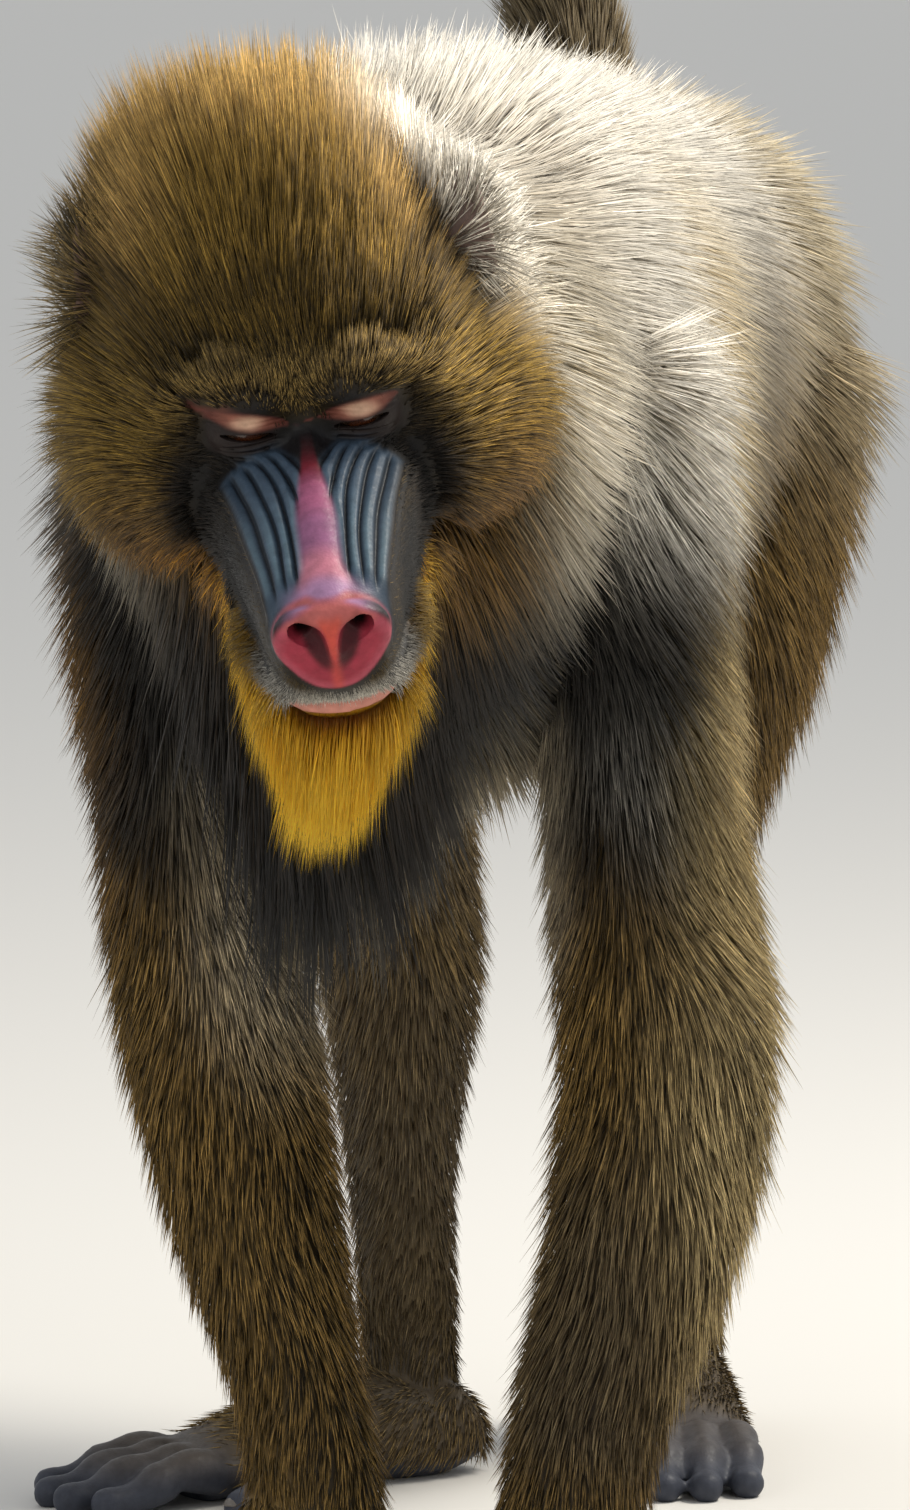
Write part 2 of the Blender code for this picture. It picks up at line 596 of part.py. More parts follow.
def foot(side):
    """Heel, sole and ball, four long toes and the great toe, which stands off on the inner side."""
    (heel_x, heel_y), turn = FOOT[side]
    angle = math.radians(turn)
    ahead = Vector((math.sin(angle), -math.cos(angle), 0))
    aside = Vector((math.cos(angle), math.sin(angle), 0))
    inner = 1.0 if side == "right" else -1.0

    def place(s, d, z):
        return (Vector((heel_x, heel_y, z)) + ahead * d + aside * s) * CM

    name = "foot_" + side
    stations = HINDLEG[side]
    sole = [(0, reach, height, wide, deep, 0) for reach, height, wide, deep in SOLE]
    leg = [stations[k] for k in ("shank", "ankle", "heel")]
    pieces = [loft(name, leg), loft(name, sole, place=place, side=aside)]
    for digit in DIGITS:
        shift = digit * DIGIT_SPACING
        reach = TOE_REACH[0] - TOE_REACH[1] * abs(digit)
        points = [(shift * spread, far, height, radius) for spread, far, height, radius in TOE]
        points.append((shift * 1.15, reach - 2.0, 0.75, DIGIT_RADIUS * 0.95))
        points.append((shift * 1.18, reach, 0.62, DIGIT_RADIUS * 0.75))
        pieces.append(bar(name, points, place=place, side=aside))
    great_toe = [(inner * beside, far, height, radius) for beside, far, height, radius in GREAT_TOE]
    pieces.append(bar(name, great_toe, place=place, side=aside))
    return fuse(pieces, name, PAW_VOXEL, SMOOTHING["paw"], FOOT_FACES)


def ear_shell(name, mirror, spare=0.0):
    """The outside of a round ear, which may be made a little larger all over."""
    left, forward, up = EAR_PLACE
    stations = [((left + s) * mirror, forward + f, up + u, wide + spare, tall + spare, 0)
                for s, f, u, wide, tall in EAR_SHELL]
    return loft(name, stations, side=HEAD_FORWARD, place=head_point, sides=EAR_SIDES, steps=2,
                cap=EAR_CAP + spare)


def ear(name, mirror):
    """An ear with a hollow cup, cut flat at its root."""
    left, forward, up = EAR_PLACE
    stations = [((left + s) * mirror, forward + f, up + u, wide, tall, 0) for s, f, u, wide, tall in EAR_CUP]
    shell = ear_shell(name, mirror)
    cup = loft(name + "_cup", stations, side=HEAD_FORWARD, place=head_point, sides=EAR_SIDES, steps=1)
    boolean(shell, [cup], "DIFFERENCE")
    piece = cut_body(shell, [plane(head_point(EAR_ROOT * mirror, 0, 0) / CM, HEAD_LEFT * mirror)], name)
    bpy.data.objects.remove(shell, do_unlink=True)
    return keep_largest(piece)


def ear_room(mirror):
    """The space that an ear takes, with the gap round it."""
    shell = ear_shell("room", mirror, spare=PART_GAP / CM)
    root = plane(head_point(EAR_ROOT * mirror, 0, 0) / CM, HEAD_LEFT * mirror, gap=-PART_GAP / 2)
    piece = cut_body(shell, [root], "ear_room")
    bpy.data.objects.remove(shell, do_unlink=True)
    return piece


def between(pair, share):
    return pair[0] + (pair[1] - pair[0]) * share


def ridge_rows(mirror):
    """The bars beside the bridge: each bends down from under the eye and runs in towards the nose."""
    rows = []
    for k in range(RIDGES):
        share = k / (RIDGES - 1)
        top, low, bend = (between(pair, share) for pair in (RIDGE_TOP, RIDGE_LOW, RIDGE_BEND))
        row = []
        for step in range(RIDGE_STEPS + 1):
            t = step / RIDGE_STEPS
            across = low + (top - low) * (1 - t) ** bend
            swell = math.sin(math.pi * (0.12 + 0.8 * t)) ** 0.5
            row.append((across * mirror, between(RIDGE_SPAN, t), RIDGE_RADIUS * swell))
        rows.append(row)
    return rows


def on_surface(tree, left, forward, sink):
    """The spot of a mesh straight down the head's up axis, sunk a little below it."""
    hit, normal = tree.ray_cast(head_point(left, forward, 6.0), -HEAD_UP)[:2]
    return hit - normal * sink * CM


def lock(root, bend, tip, across, half_width, thickness, rings=BODY_LOCK_RINGS):
    """A flat lock of hair with a ridged back, tapered from its root past a bend to its tip."""
    verts, faces = [], []
    for u, share in rings:
        middle = root * (1 - u) ** 2 + bend * 2 * u * (1 - u) + tip * u * u
        along = ((bend - root) * (1 - u) + (tip - bend) * u).normalized()
        side = (across - along * across.dot(along)).normalized()
        out = side.cross(along)
        wide = side * half_width * share
        low = out * thickness * LOCK_KEEL * share
        verts += [middle + wide - low, middle + out * thickness * share, middle - wide - low]
    last = len(verts) - 3
    verts.append(tip)
    faces.append((0, 1, 2))
    for ring in range(0, last, 3):
        for k in range(3):
            n = (k + 1) % 3
            faces.append((ring + k, ring + 3 + k, ring + 3 + n, ring + n))
    for k in range(3):
        faces.append((last + k, last + 3, last + (k + 1) % 3))
    return add_mesh("lock", verts, faces)


def inside(tree, spot):
    """Whether a spot is under a closed surface."""
    near, normal = tree.find_nearest(spot)[:2]
    return (near - spot).dot(normal) > 0


def coat_locks(kind, stations, rows, angles, count, draw, tree=None, rise=1.0, rings=BODY_LOCK_RINGS,
               **shape):
    """Locks in staggered rows on a tube's coat, each lying along it and over the next row's roots."""
    stations = list(stations)
    half_width, thickness = LOCK_SIZES[kind]
    run = LOCK_RUNS[kind]
    made = []
    first, end = (math.radians(a) for a in angles)
    for number, start in enumerate(rows):
        for k in range(count):
            share = (k + 0.25 + 0.5 * (number % 2)) / count
            angle = first + (end - first) * share + draw.uniform(-0.05, 0.05)
            begin = start + draw.uniform(-0.1, 0.1)
            length = run * draw.uniform(0.88, 1.12)
            swing = draw.uniform(-0.12, 0.12)
            root = tube_spot(stations, begin, angle, LOCK_ROOT, **shape)
            bend = tube_spot(stations, begin + length * 0.45, angle + swing * 0.3, rise * 1.06, **shape)
            tip = tube_spot(stations, begin + length, angle + swing, rise * draw.uniform(0.92, 1.06), **shape)
            if tree and inside(tree, tip):
                continue
            near = tube_spot(stations, begin + length * 0.45, angle + 0.05, rise * 1.06, **shape)
            wide = half_width * draw.uniform(0.88, 1.12) * CM
            made.append(lock(root, bend, tip, bend - near, wide, thickness * CM, rings))
    return made


def fan_lock(kind, tree, start, ray, lie, length, draw, lift=0.5):
    """A lock rooted where a ray from inside leaves the flesh, bent over from the surface to its lie."""
    half_width, thickness = LOCK_SIZES[kind]
    hit, normal = tree.ray_cast(start, ray)[:2]
    across = lie.cross(normal)
    if across.length < 0.2:
        across = lie.cross(HEAD_FORWARD)
    length *= draw.uniform(0.9, 1.1) * CM
    rise = (normal * lift + lie * (1 - lift)).normalized()
    root = hit - normal * LOCK_SINK
    bend = root + rise * (LOCK_SINK + length * 0.4)
    tip = bend + lie.normalized() * length * 0.62
    wide = half_width * draw.uniform(0.9, 1.1) * CM
    return lock(root, bend, tip, across.normalized(), wide, thickness * CM, HEAD_LOCK_RINGS)


def head_locks(tree):
    """The crest over the crown, the ruff on each cheek and the beard."""
    draw = random.Random(SEED)
    made = []
    world_up = Vector((0, 0, 1))
    for forward, angles, length in CREST_ROWS:
        for degrees in angles:
            angle = math.radians(degrees + draw.uniform(-4, 4))
            ray = HEAD_LEFT * math.sin(angle) + HEAD_UP * math.cos(angle)
            start = head_point(0, forward, 0)
            lie = (world_up * 0.75 + ray * 0.55 + HEAD_LEFT * math.sin(angle) * 0.25).normalized()
            made.append(fan_lock("crest", tree, start, ray, lie, length, draw))
    for mirror in (1.0, -1.0):
        angles = RUFF_ANGLES if mirror > 0 else (180 - RUFF_ANGLES[1], 180 - RUFF_ANGLES[0])
        made += coat_locks("ruff", CHEEK.values(), RUFF_ROWS, angles, 4, draw, rings=HEAD_LOCK_RINGS,
                           place=head_point, side=HEAD_LEFT, mirror=mirror)
    for forward, sides, length in BEARD_ROWS:
        for left in sides:
            ray = (-HEAD_UP + HEAD_LEFT * left * 0.12).normalized()
            start = head_point(left * 0.8, forward, -5.2)
            lie = (-world_up + HEAD_FORWARD * 0.18 + HEAD_LEFT * left * 0.03 - HEAD_UP * 0.1).normalized()
            made.append(fan_lock("beard", tree, start, ray, lie, length, draw, lift=0.2))
    return made


def body_locks(tree):
    """The mantle, the coat of back and flanks, the chest tuft, the fringes of the legs and the tail."""
    draw = random.Random(SEED + 1)
    made = coat_locks("torso", TORSO.values(), TORSO_ROWS, TORSO_ANGLES, 12, draw, tree, power=SQUARE_TRUNK)
    made += coat_locks("neck", NECK.values(), NECK_ROWS, NECK_ANGLES, 8, draw, tree, power=SQUARE_NECK)
    made += coat_locks("tail", TAIL.values(), TAIL_ROWS, (0, 360), 4, draw, rise=1.4)
    for side in ("left", "right"):
        arm, leg = FORELEG[side].values(), HINDLEG[side].values()
        made += coat_locks("arm", arm, ARM_ROWS, ARM_ANGLES, 3, draw, tree, rise=FRINGE_RISE)
        made += coat_locks("thigh", leg, THIGH_ROWS, THIGH_ANGLES, 3, draw, tree, rise=FRINGE_RISE)
    for x, y, z, length in CHEST_TUFT:
        lie = Vector((-0.06 - x * 0.02, 0.05, -1.0)).normalized()
        ray = Vector((0, -0.6, -1.0)).normalized()
        made.append(fan_lock("chest", tree, body_point(x, y, z), ray, lie, length, draw, lift=0.2))
    return made


def both_ways(points):
    """A bar's points given from the middle out, run from one side of the face to the other."""
    return [(-s, f, u, r) for s, f, u, r in reversed(points[1:])] + points


def surface_tree(obj):
    bm = bmesh.new()
    bm.from_mesh(obj.data)
    tree = BVHTree.FromBMesh(bm)
    bm.free()
    return tree


def ridge_bars(tree, mirror):
    """The ridges of one side, laid half sunk along the muzzle's skin."""
    made = []
    for row in ridge_rows(mirror):
        points = [(*on_surface(tree, left, forward, radius * RIDGE_SINK), radius)
                  for left, forward, radius in row]
        made.append(bar("ridge", points, place=lambda x, y, z: Vector((x, y, z)), side=HEAD_LEFT,
                        sides=RIDGE_SIDES))
    return made


def eye_openings(mirror):
    """The socket and the slit between the lids of one eye."""
    centre = Vector((EYE_PLACE.x * mirror, EYE_PLACE.y, EYE_PLACE.z)) / CM
    room = (EYE_RADIUS + EYE_CLEARANCE) / CM
    tilt = Matrix.Rotation(EYE_SLIT_TILT, 3, "X")
    axes = HEAD_AXES @ tilt @ Matrix.Rotation(-EYE_SLIT_TURN * mirror, 3, "Y")
    slit_centre = centre + tilt @ Vector((0, EYE_SLIT_REACH, 0))
    return [ball("socket", centre, (room, room, room), segments=16, rings=8),
            ball("slit", slit_centre, SLIT_SIZE, axes=axes, segments=12, rings=6)]


def head_flesh():
    """Skull, cheeks, muzzle, jaw and throat in one skin, with ridges, lips, lids, nostrils and ears."""
    on_head = {"place": head_point, "side": HEAD_LEFT}
    pieces = [loft("head", CRANIUM.values(), share=HEAD_SHARE, **on_head),
              loft("muzzle", MUZZLE.values(), power=SQUARE_MUZZLE, **on_head),
              loft("jaw", JAW.values(), share=HEAD_SHARE, **on_head),
              loft("gullet", GULLET.values(), share=HEAD_SHARE, **on_head),
              loft("neck", list(NECK.values())[:3], share=CORE_SHARE, power=SQUARE_NECK),
              bar("brow", both_ways(BROW_BAR), side=HEAD_FORWARD)]
    for mirror in (1.0, -1.0):
        pieces.append(loft("cheek", CHEEK.values(), share=HEAD_SHARE, mirror=mirror, **on_head))
        pieces.append(bar("cheekbone", CHEEKBONE, mirror=mirror))
        left, forward, up = NOSE_WINGS[0]
        pieces.append(ball("wing", (left * mirror, forward, up), NOSE_WINGS[1]))
    head = fuse(pieces, "head", HEAD_VOXEL, SMOOTHING["head"], HEAD_FACES)
    tree = surface_tree(head)
    added = [bar("bridge", NOSE_BRIDGE, side=HEAD_LEFT, flat=0.7), bar("septum", SEPTUM, side=HEAD_LEFT),
             bar("lip", both_ways(UPPER_LIP), side=HEAD_UP), bar("lip", both_ways(LOWER_LIP), side=HEAD_UP),
             bar("rim", both_ways(NOSE_RIM), side=HEAD_FORWARD)]
    removed = [bar("mouth", both_ways(MOUTH_LINE), side=HEAD_UP, flat=MOUTH_FLATNESS)]
    reach = (EYE_RADIUS + LID_THICKNESS) / CM
    for mirror in (1.0, -1.0):
        centre = Vector((EYE_PLACE.x * mirror, EYE_PLACE.y, EYE_PLACE.z)) / CM
        added += ridge_bars(tree, mirror)
        added.append(ball("lid", centre, (reach * LID_WIDENING, reach, reach), segments=16, rings=8))
        added.append(ear_shell("ear_root", mirror))
        removed += eye_openings(mirror)
        removed.append(bar("nostril", NOSTRIL, mirror=mirror, side=HEAD_LEFT))
        removed.append(ear_room(mirror))
    added += head_locks(tree)
    boolean(head, added, "UNION")
    boolean(head, removed, "DIFFERENCE")
    return head


def eye(name, mirror):
    centre = Vector((EYE_PLACE.x * mirror, EYE_PLACE.y, EYE_PLACE.z)) / CM
    radius = EYE_RADIUS / CM
    return ball(name, centre, (radius, radius, radius), segments=12, rings=7)


def paint(obj, colour, roughness):
    material = bpy.data.materials.new(obj.name)
    material.use_nodes = True
    shader = material.node_tree.nodes["Principled BSDF"]
    shader.inputs["Base Color"].default_value = (*colour, 1.0)
    shader.inputs["Roughness"].default_value = roughness
    shader.inputs["Metallic"].default_value = 0.0
    obj.data.materials.clear()
    obj.data.materials.append(material)


def body_flesh():
    """Torso, neck, tail and legs in one skin, with the long coat's locks on it."""
    pieces = [loft("body", TORSO.values(), power=SQUARE_TRUNK, share=CORE_SHARE),
              loft("neck", NECK.values(), power=SQUARE_NECK, share=CORE_SHARE),
              loft("tail", TAIL.values(), share=CORE_SHARE)]
    for side in ("left", "right"):
        pieces.append(loft("foreleg", FORELEG[side].values(), share=LEG_SHARE))
        pieces.append(loft("hindleg", HINDLEG[side].values(), share=LEG_SHARE))
        pieces.append(ball("pad", SEAT_PADS[side], SEAT_PAD_SIZE, place=body_point, axes=Matrix.Identity(3)))
    pieces.append(loft("belly", BELLY.values(), power=SQUARE_TRUNK))
    body = fuse(pieces, "body", BODY_VOXEL, SMOOTHING["body"], BODY_FACES)
    return boolean(body, body_locks(surface_tree(body)), "UNION")


def limits(**walls):
    """Planes square to the axes from named walls, such as x_above or z_below."""
    planes = []
    for wall, value in walls.items():
        axis, sense = wall.split("_")
        facing = Vector([1.0 if axis == a else 0.0 for a in "xyz"])
        planes.append(plane(facing * value, facing if sense == "above" else -facing))
    return planes


def leg_regions():
    """Planes that hold each length of the four legs, upper before lower."""
    regions = {}
    for side in ("left", "right"):
        sense = 1.0 if side == "left" else -1.0

        def beside(distance, near=sense):
            return plane((near * distance, 0, 0), (near, 0, 0))

        inner = plane((HANDS_APART, 0, 0), (sense, 0, 0))
        front = limits(y_above=FORELEG_SPAN_Y[0], y_below=FORELEG_SPAN_Y[1])
        regions["upper_arm_" + side] = front + [beside(FORELEG_INSIDE)] + limits(
            z_below=SHOULDER_HEIGHT, z_above=ELBOW_HEIGHT)
        regions["forearm_" + side] = front + [inner] + limits(z_below=ELBOW_HEIGHT, z_above=WRIST_HEIGHT)
        regions["thigh_" + side] = [beside(THIGH_INSIDE)] + limits(
            z_below=THIGH_HEIGHT, z_above=KNEE_HEIGHT, y_above=THIGH_FRONT)
        regions["shank_" + side] = [beside(0.0)] + limits(
            z_below=KNEE_HEIGHT, z_above=ANKLE_HEIGHT, y_above=HINDLEG_FRONT)
    return regions


def part_body(body):
    """Parts the fused body into its named pieces, each cut a hair's breadth clear of the next."""
    pieces = {}
    regions = leg_regions()
    regions["neck"] = [away(HEAD_PLANE), plane(*NECK_PLANE)] + limits(z_above=NECK_FLOOR)
    regions["tail"] = [plane(*TAIL_PLANE)] + limits(y_above=TAIL_FRONT)
    for name, planes in regions.items():
        piece = cut_body(body, planes, name)
        pieces[name] = keep_largest(piece)
    blocks = []
    for name, planes in regions.items():
        grown = [(point - facing * PART_GAP, facing) for point, facing in planes]
        blocks.append(box_region(name + "_block", grown))
    blocks.append(box_region("front_block", [plane(*HEAD_PLANE, gap=-PART_GAP / 2)]))
    blocks.append(box_region("floor_block", limits(z_below=KNEE_HEIGHT)))
    body.name = "torso"
    boolean(body, blocks, "DIFFERENCE")
    pieces["torso"] = keep_largest(body)
    return pieces


def main():
    clear_scene()
    nodes = part_body(body_flesh())
    head = head_flesh()
    nodes["head"] = keep_largest(cut_body(head, [plane(*HEAD_PLANE)], "head"))
    bpy.data.objects.remove(head, do_unlink=True)
    for side, mirror in (("left", 1.0), ("right", -1.0)):
        nodes["eye_" + side] = eye("eye_" + side, mirror)
        nodes["ear_" + side] = ear("ear_" + side, mirror)
        paw = hand(side)
        nodes["hand_" + side] = keep_largest(cut_body(
            paw, limits(z_above=FLOOR_SINK, z_below=WRIST_HEIGHT), "hand_" + side))
        bpy.data.objects.remove(paw, do_unlink=True)
        paw = foot(side)
        nodes["foot_" + side] = keep_largest(cut_body(
            paw, limits(z_above=FLOOR_SINK, z_below=ANKLE_HEIGHT), "foot_" + side))
        bpy.data.objects.remove(paw, do_unlink=True)
    corners = [v.co for obj in nodes.values() for v in obj.data.vertices]
    low = Vector([min(c[k] for c in corners) for k in range(3)])
    high = Vector([max(c[k] for c in corners) for k in range(3)])
    shift = Matrix.Translation(-Vector(((low.x + high.x) / 2, (low.y + high.y) / 2, low.z)))
    for name, obj in nodes.items():
        obj.name = name
        obj.data.transform(shift)
        obj.data.shade_smooth()
        obj.data.set_sharp_from_angle(angle=EDGE_ANGLE)
        paint(obj, *COLOURS[name.replace("_left", "").replace("_right", "")])


if __name__ == "__main__":
    main()
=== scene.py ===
"""Still, life-size model of an adult male mandrill: one skin, eyes, nails and a coat combed over the skin.

The animal faces -Y with its left side at +X. Station tables are in centimetres in the working frame of the
solids, and hold the outline out to the tips of the coat with the depth of the coat there.
"""

import math

import bmesh
import bpy
import numpy as np
from bpy.props import FloatProperty, FloatVectorProperty, IntProperty, PointerProperty
from mathutils import Matrix, Vector
from mathutils.kdtree import KDTree


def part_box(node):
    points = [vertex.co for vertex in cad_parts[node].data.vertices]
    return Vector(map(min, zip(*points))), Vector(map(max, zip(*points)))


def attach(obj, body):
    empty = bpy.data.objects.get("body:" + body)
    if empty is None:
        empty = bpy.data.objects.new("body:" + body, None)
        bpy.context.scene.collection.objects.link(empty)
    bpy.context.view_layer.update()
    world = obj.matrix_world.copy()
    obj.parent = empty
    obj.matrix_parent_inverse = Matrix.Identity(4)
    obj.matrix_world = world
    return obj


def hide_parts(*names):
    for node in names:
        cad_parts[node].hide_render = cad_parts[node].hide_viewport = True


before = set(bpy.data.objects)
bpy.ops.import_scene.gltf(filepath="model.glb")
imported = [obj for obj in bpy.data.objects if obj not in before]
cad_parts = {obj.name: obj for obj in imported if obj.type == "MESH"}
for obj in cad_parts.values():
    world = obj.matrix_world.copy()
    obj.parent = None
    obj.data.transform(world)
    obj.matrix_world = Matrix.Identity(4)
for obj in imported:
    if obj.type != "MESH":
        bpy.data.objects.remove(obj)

bl_info = {
    "name": "Mandrill model",
    "version": (1, 0, 0),
    "blender": (4, 5, 0),
    "location": "3D View > Sidebar > Mandrill",
    "description": "Builds the skin, eyes, nails and coat of a life-size standing mandrill",
    "category": "Object",
}

CM = 0.01
MM = 0.001
SEED = 11
X_AXIS = Vector((1, 0, 0))
BACK = Vector((0, 1, 0))
WORLD_UP = Vector((0, 0, 1))
BODY = "root"

# The head's own axes: left, forward along the bridge of the nose, and up from it
HEAD_LEFT = Vector((0.976, 0.170, 0.138)).normalized()
HEAD_FORWARD = Vector((0.218, -0.836, -0.509)).normalized()
HEAD_UP = HEAD_FORWARD.cross(HEAD_LEFT).normalized()
HEAD_AXES = Matrix((HEAD_LEFT, HEAD_FORWARD, HEAD_UP)).transposed()
HEAD_ORIGIN = (0.7, -44.0, 50.6)
EYE_PLACE = (2.1, -1.0, -0.3)

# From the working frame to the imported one, read off the left eye
EYE_LOW, EYE_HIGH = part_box("eye_left")
SHIFT = (EYE_LOW + EYE_HIGH) / 2 - (Vector(HEAD_ORIGIN) + HEAD_AXES @ Vector(EYE_PLACE)) * CM

# Torso, neck and legs: centre x, y, z, half width, half depth and coat depth
TORSO = [
    (0.0, -29.5, 45.5, 7.6, 8.6, 3.0),
    (0.0, -24.0, 47.0, 10.2, 13.0, 3.2),
    (0.0, -16.0, 47.6, 11.4, 14.8, 3.5),
    (0.0, -6.0, 48.4, 11.7, 14.3, 3.5),
    (0.0, 6.0, 49.0, 11.4, 12.7, 3.4),
    (0.0, 16.0, 49.7, 11.5, 11.2, 3.2),
    (0.0, 25.0, 49.6, 12.4, 10.6, 3.0),
    (0.0, 31.5, 49.6, 9.6, 8.2, 2.2),
    (0.0, 34.2, 49.0, 6.4, 5.4, 0.8),
]
NECK = [
    (-1.2, -37.5, 53.0, 7.4, 7.6, 2.0),
    (-0.9, -33.0, 52.2, 9.3, 9.6, 3.4),
    (-0.3, -27.0, 49.6, 10.4, 11.6, 3.6),
    (0.0, -20.0, 48.0, 9.5, 11.5, 3.2),
]
FORELEG = {
    "right": [
        (-8.0, -19.5, 50.0, 4.6, 6.6, 2.4),
        (-8.6, -20.5, 42.0, 4.5, 6.0, 2.2),
        (-8.2, -20.0, 35.0, 3.9, 5.2, 1.9),
        (-7.8, -19.6, 30.0, 4.0, 4.7, 1.8),
        (-6.6, -21.6, 25.0, 4.1, 4.3, 1.6),
        (-4.8, -24.0, 18.5, 3.6, 3.6, 1.3),
        (-2.9, -25.6, 12.0, 2.75, 2.9, 1.0),
        (-2.0, -26.3, 7.8, 2.75, 2.4, 0.6),
        (-1.9, -27.4, 5.6, 2.6, 1.9, 0.3),
    ],
    "left": [
        (8.0, -19.5, 50.0, 4.6, 6.6, 2.4),
        (8.9, -20.3, 42.0, 4.7, 6.0, 2.2),
        (9.6, -20.0, 35.0, 4.2, 5.2, 1.9),
        (10.2, -19.8, 30.0, 4.3, 4.8, 1.8),
        (11.0, -21.6, 24.5, 4.5, 4.6, 1.8),
        (10.5, -24.0, 18.0, 4.1, 4.0, 1.7),
        (8.9, -25.6, 12.0, 3.3, 3.1, 1.2),
        (8.1, -26.3, 7.8, 3.0, 2.4, 0.7),
        (8.0, -27.4, 5.6, 2.7, 1.9, 0.3),
    ],
}
HINDLEG = {
    "right": [
        (-6.2, 23.0, 47.0, 6.6, 8.6, 2.4),
        (-7.2, 18.5, 38.5, 5.2, 7.2, 2.0),
        (-6.0, 13.0, 29.5, 4.3, 5.0, 1.5),
        (-5.4, 14.6, 22.5, 3.7, 4.1, 1.2),
        (-5.9, 18.2, 14.0, 2.55, 3.0, 0.9),
        (-6.0, 20.4, 7.0, 2.2, 2.5, 0.5),
        (-6.0, 20.6, 3.6, 2.1, 2.4, 0.2),
    ],
    "left": [
        (6.6, 23.0, 47.0, 7.2, 8.6, 2.6),
        (7.6, 21.5, 38.5, 5.2, 7.2, 2.1),
        (5.9, 18.0, 29.5, 3.9, 5.0, 1.5),
        (5.2, 21.8, 22.5, 3.4, 4.1, 1.2),
        (4.6, 27.4, 14.5, 2.55, 3.0, 0.9),
        (4.1, 31.6, 7.4, 2.2, 2.5, 0.5),
        (4.0, 32.4, 3.8, 2.1, 2.4, 0.2),
    ],
}
TAIL = [
    (0.0, 30.5, 54.0, 2.8, 2.8, 1.0),
    (-0.3, 33.5, 57.5, 2.4, 2.4, 1.1),
    (-1.1, 35.0, 60.6, 2.8, 2.5, 1.6),
    (-2.2, 35.2, 63.6, 2.6, 2.2, 1.8),
]
BELLY = [
    (0.0, -20.0, 43.0, 7.4, 8.6, 0.9),
    (0.0, -6.0, 43.6, 7.6, 9.4, 0.9),
    (0.0, 6.0, 44.4, 7.4, 8.0, 0.9),
    (0.0, 18.0, 46.0, 7.4, 7.4, 0.9),
]
SEAT_PADS = {"left": (3.1, 34.2, 46.4), "right": (-3.1, 34.2, 46.4)}
SEAT_PAD_SIZE = (2.5, 1.7, 2.9)
SEAT = (0.0, 35.0, 47.6)
SEAT_SIZE = (7.0, 5.5, 5.4)

# The head, in its own axes: left, forward, up, half width, half height and coat depth
CRANIUM = [
    (0.0, -10.6, -0.6, 3.9, 3.9, 1.6),
    (0.0, -9.0, -0.4, 6.2, 5.9, 2.4),
    (0.0, -6.5, -0.2, 7.0, 6.0, 2.6),
    (0.0, -4.0, -0.5, 6.6, 5.3, 2.0),
    (0.0, -2.3, -1.2, 5.4, 3.6, 0.9),
    (0.0, -1.5, -1.8, 4.3, 2.6, 0.2),
]
CHEEK = [
    (3.5, -1.4, -3.6, 2.0, 2.4, 0.6),
    (4.8, -4.0, -3.6, 3.6, 4.4, 2.4),
    (5.3, -7.0, -3.3, 4.5, 5.4, 3.8),
    (4.9, -9.8, -3.0, 4.2, 5.2, 3.8),
]
MUZZLE = [
    (0.0, -1.6, -4.1, 4.3, 3.0, 0.0),
    (0.0, 0.8, -3.6, 3.8, 3.0, 0.0),
    (0.0, 3.6, -3.3, 3.35, 2.95, 0.0),
    (0.0, 6.6, -3.0, 2.85, 2.75, 0.0),
    (0.0, 9.0, -2.7, 2.5, 2.5, 0.0),
    (0.0, 10.2, -2.6, 2.15, 2.1, 0.0),
]
JAW = [
    (0.0, -4.5, -6.2, 3.9, 2.6, 0.8),
    (0.0, -1.0, -6.9, 3.6, 1.9, 0.5),
    (0.0, 3.0, -6.7, 2.9, 1.5, 0.2),
    (0.0, 6.6, -6.3, 2.3, 1.25, 0.0),
    (0.0, 9.0, -5.85, 1.65, 0.85, 0.0),
]
GULLET = [
    (0.0, -1.5, -7.0, 3.4, 2.4, 0.8),
    (0.0, -6.0, -6.8, 5.0, 4.4, 1.8),
    (0.0, -10.5, -4.0, 6.2, 6.4, 2.4),
]
# Bars that shape the face: points with a radius, from the middle out
BROW_BAR = [(0.0, -0.75, 0.4, 0.6), (1.2, -0.55, 0.95, 0.8), (2.6, -0.7, 1.1, 0.85), (4.0, -1.8, 0.3, 0.8)]
CHEEKBONE = [(3.9, -1.9, -1.0, 0.9), (4.9, -3.6, -1.5, 0.9), (5.3, -5.6, -1.8, 0.7)]
NOSE_BRIDGE = [
    (0.0, -1.0, -0.25, 0.6), (0.0, 0.6, -0.5, 0.5), (0.0, 3.0, -0.35, 0.6), (0.0, 6.0, -0.3, 0.75),
    (0.0, 9.2, -0.55, 0.85), (0.0, 10.5, -0.85, 0.7),
]
SEPTUM = [(0.0, 10.9, -0.85, 0.42), (0.0, 11.3, -1.6, 0.3), (0.0, 11.1, -2.6, 0.26), (0.0, 10.7, -3.5, 0.3)]
NOSE_RIM = [
    (0.0, 10.75, -0.85, 0.45), (1.15, 10.7, -1.0, 0.45), (1.75, 10.45, -1.7, 0.46), (1.5, 10.4, -2.7, 0.46),
    (0.65, 10.5, -3.45, 0.42),
]
UPPER_LIP = [
    (0.0, 10.45, -4.35, 0.42), (1.3, 10.0, -4.45, 0.42), (2.1, 8.8, -4.8, 0.4), (2.65, 6.2, -5.2, 0.35),
    (2.95, 3.4, -5.45, 0.25),
]
LOWER_LIP = [
    (0.0, 9.95, -5.35, 0.42), (1.1, 9.55, -5.45, 0.42), (1.9, 8.2, -5.75, 0.4), (2.4, 5.8, -6.0, 0.3),
    (2.8, 3.2, -6.1, 0.25),
]
MOUTH_LINE = [
    (0.0, 10.95, -4.88, 0.3), (1.35, 10.35, -4.95, 0.3), (2.45, 8.6, -5.25, 0.3), (3.1, 6.0, -5.62, 0.3),
    (3.35, 3.6, -5.85, 0.25),
]
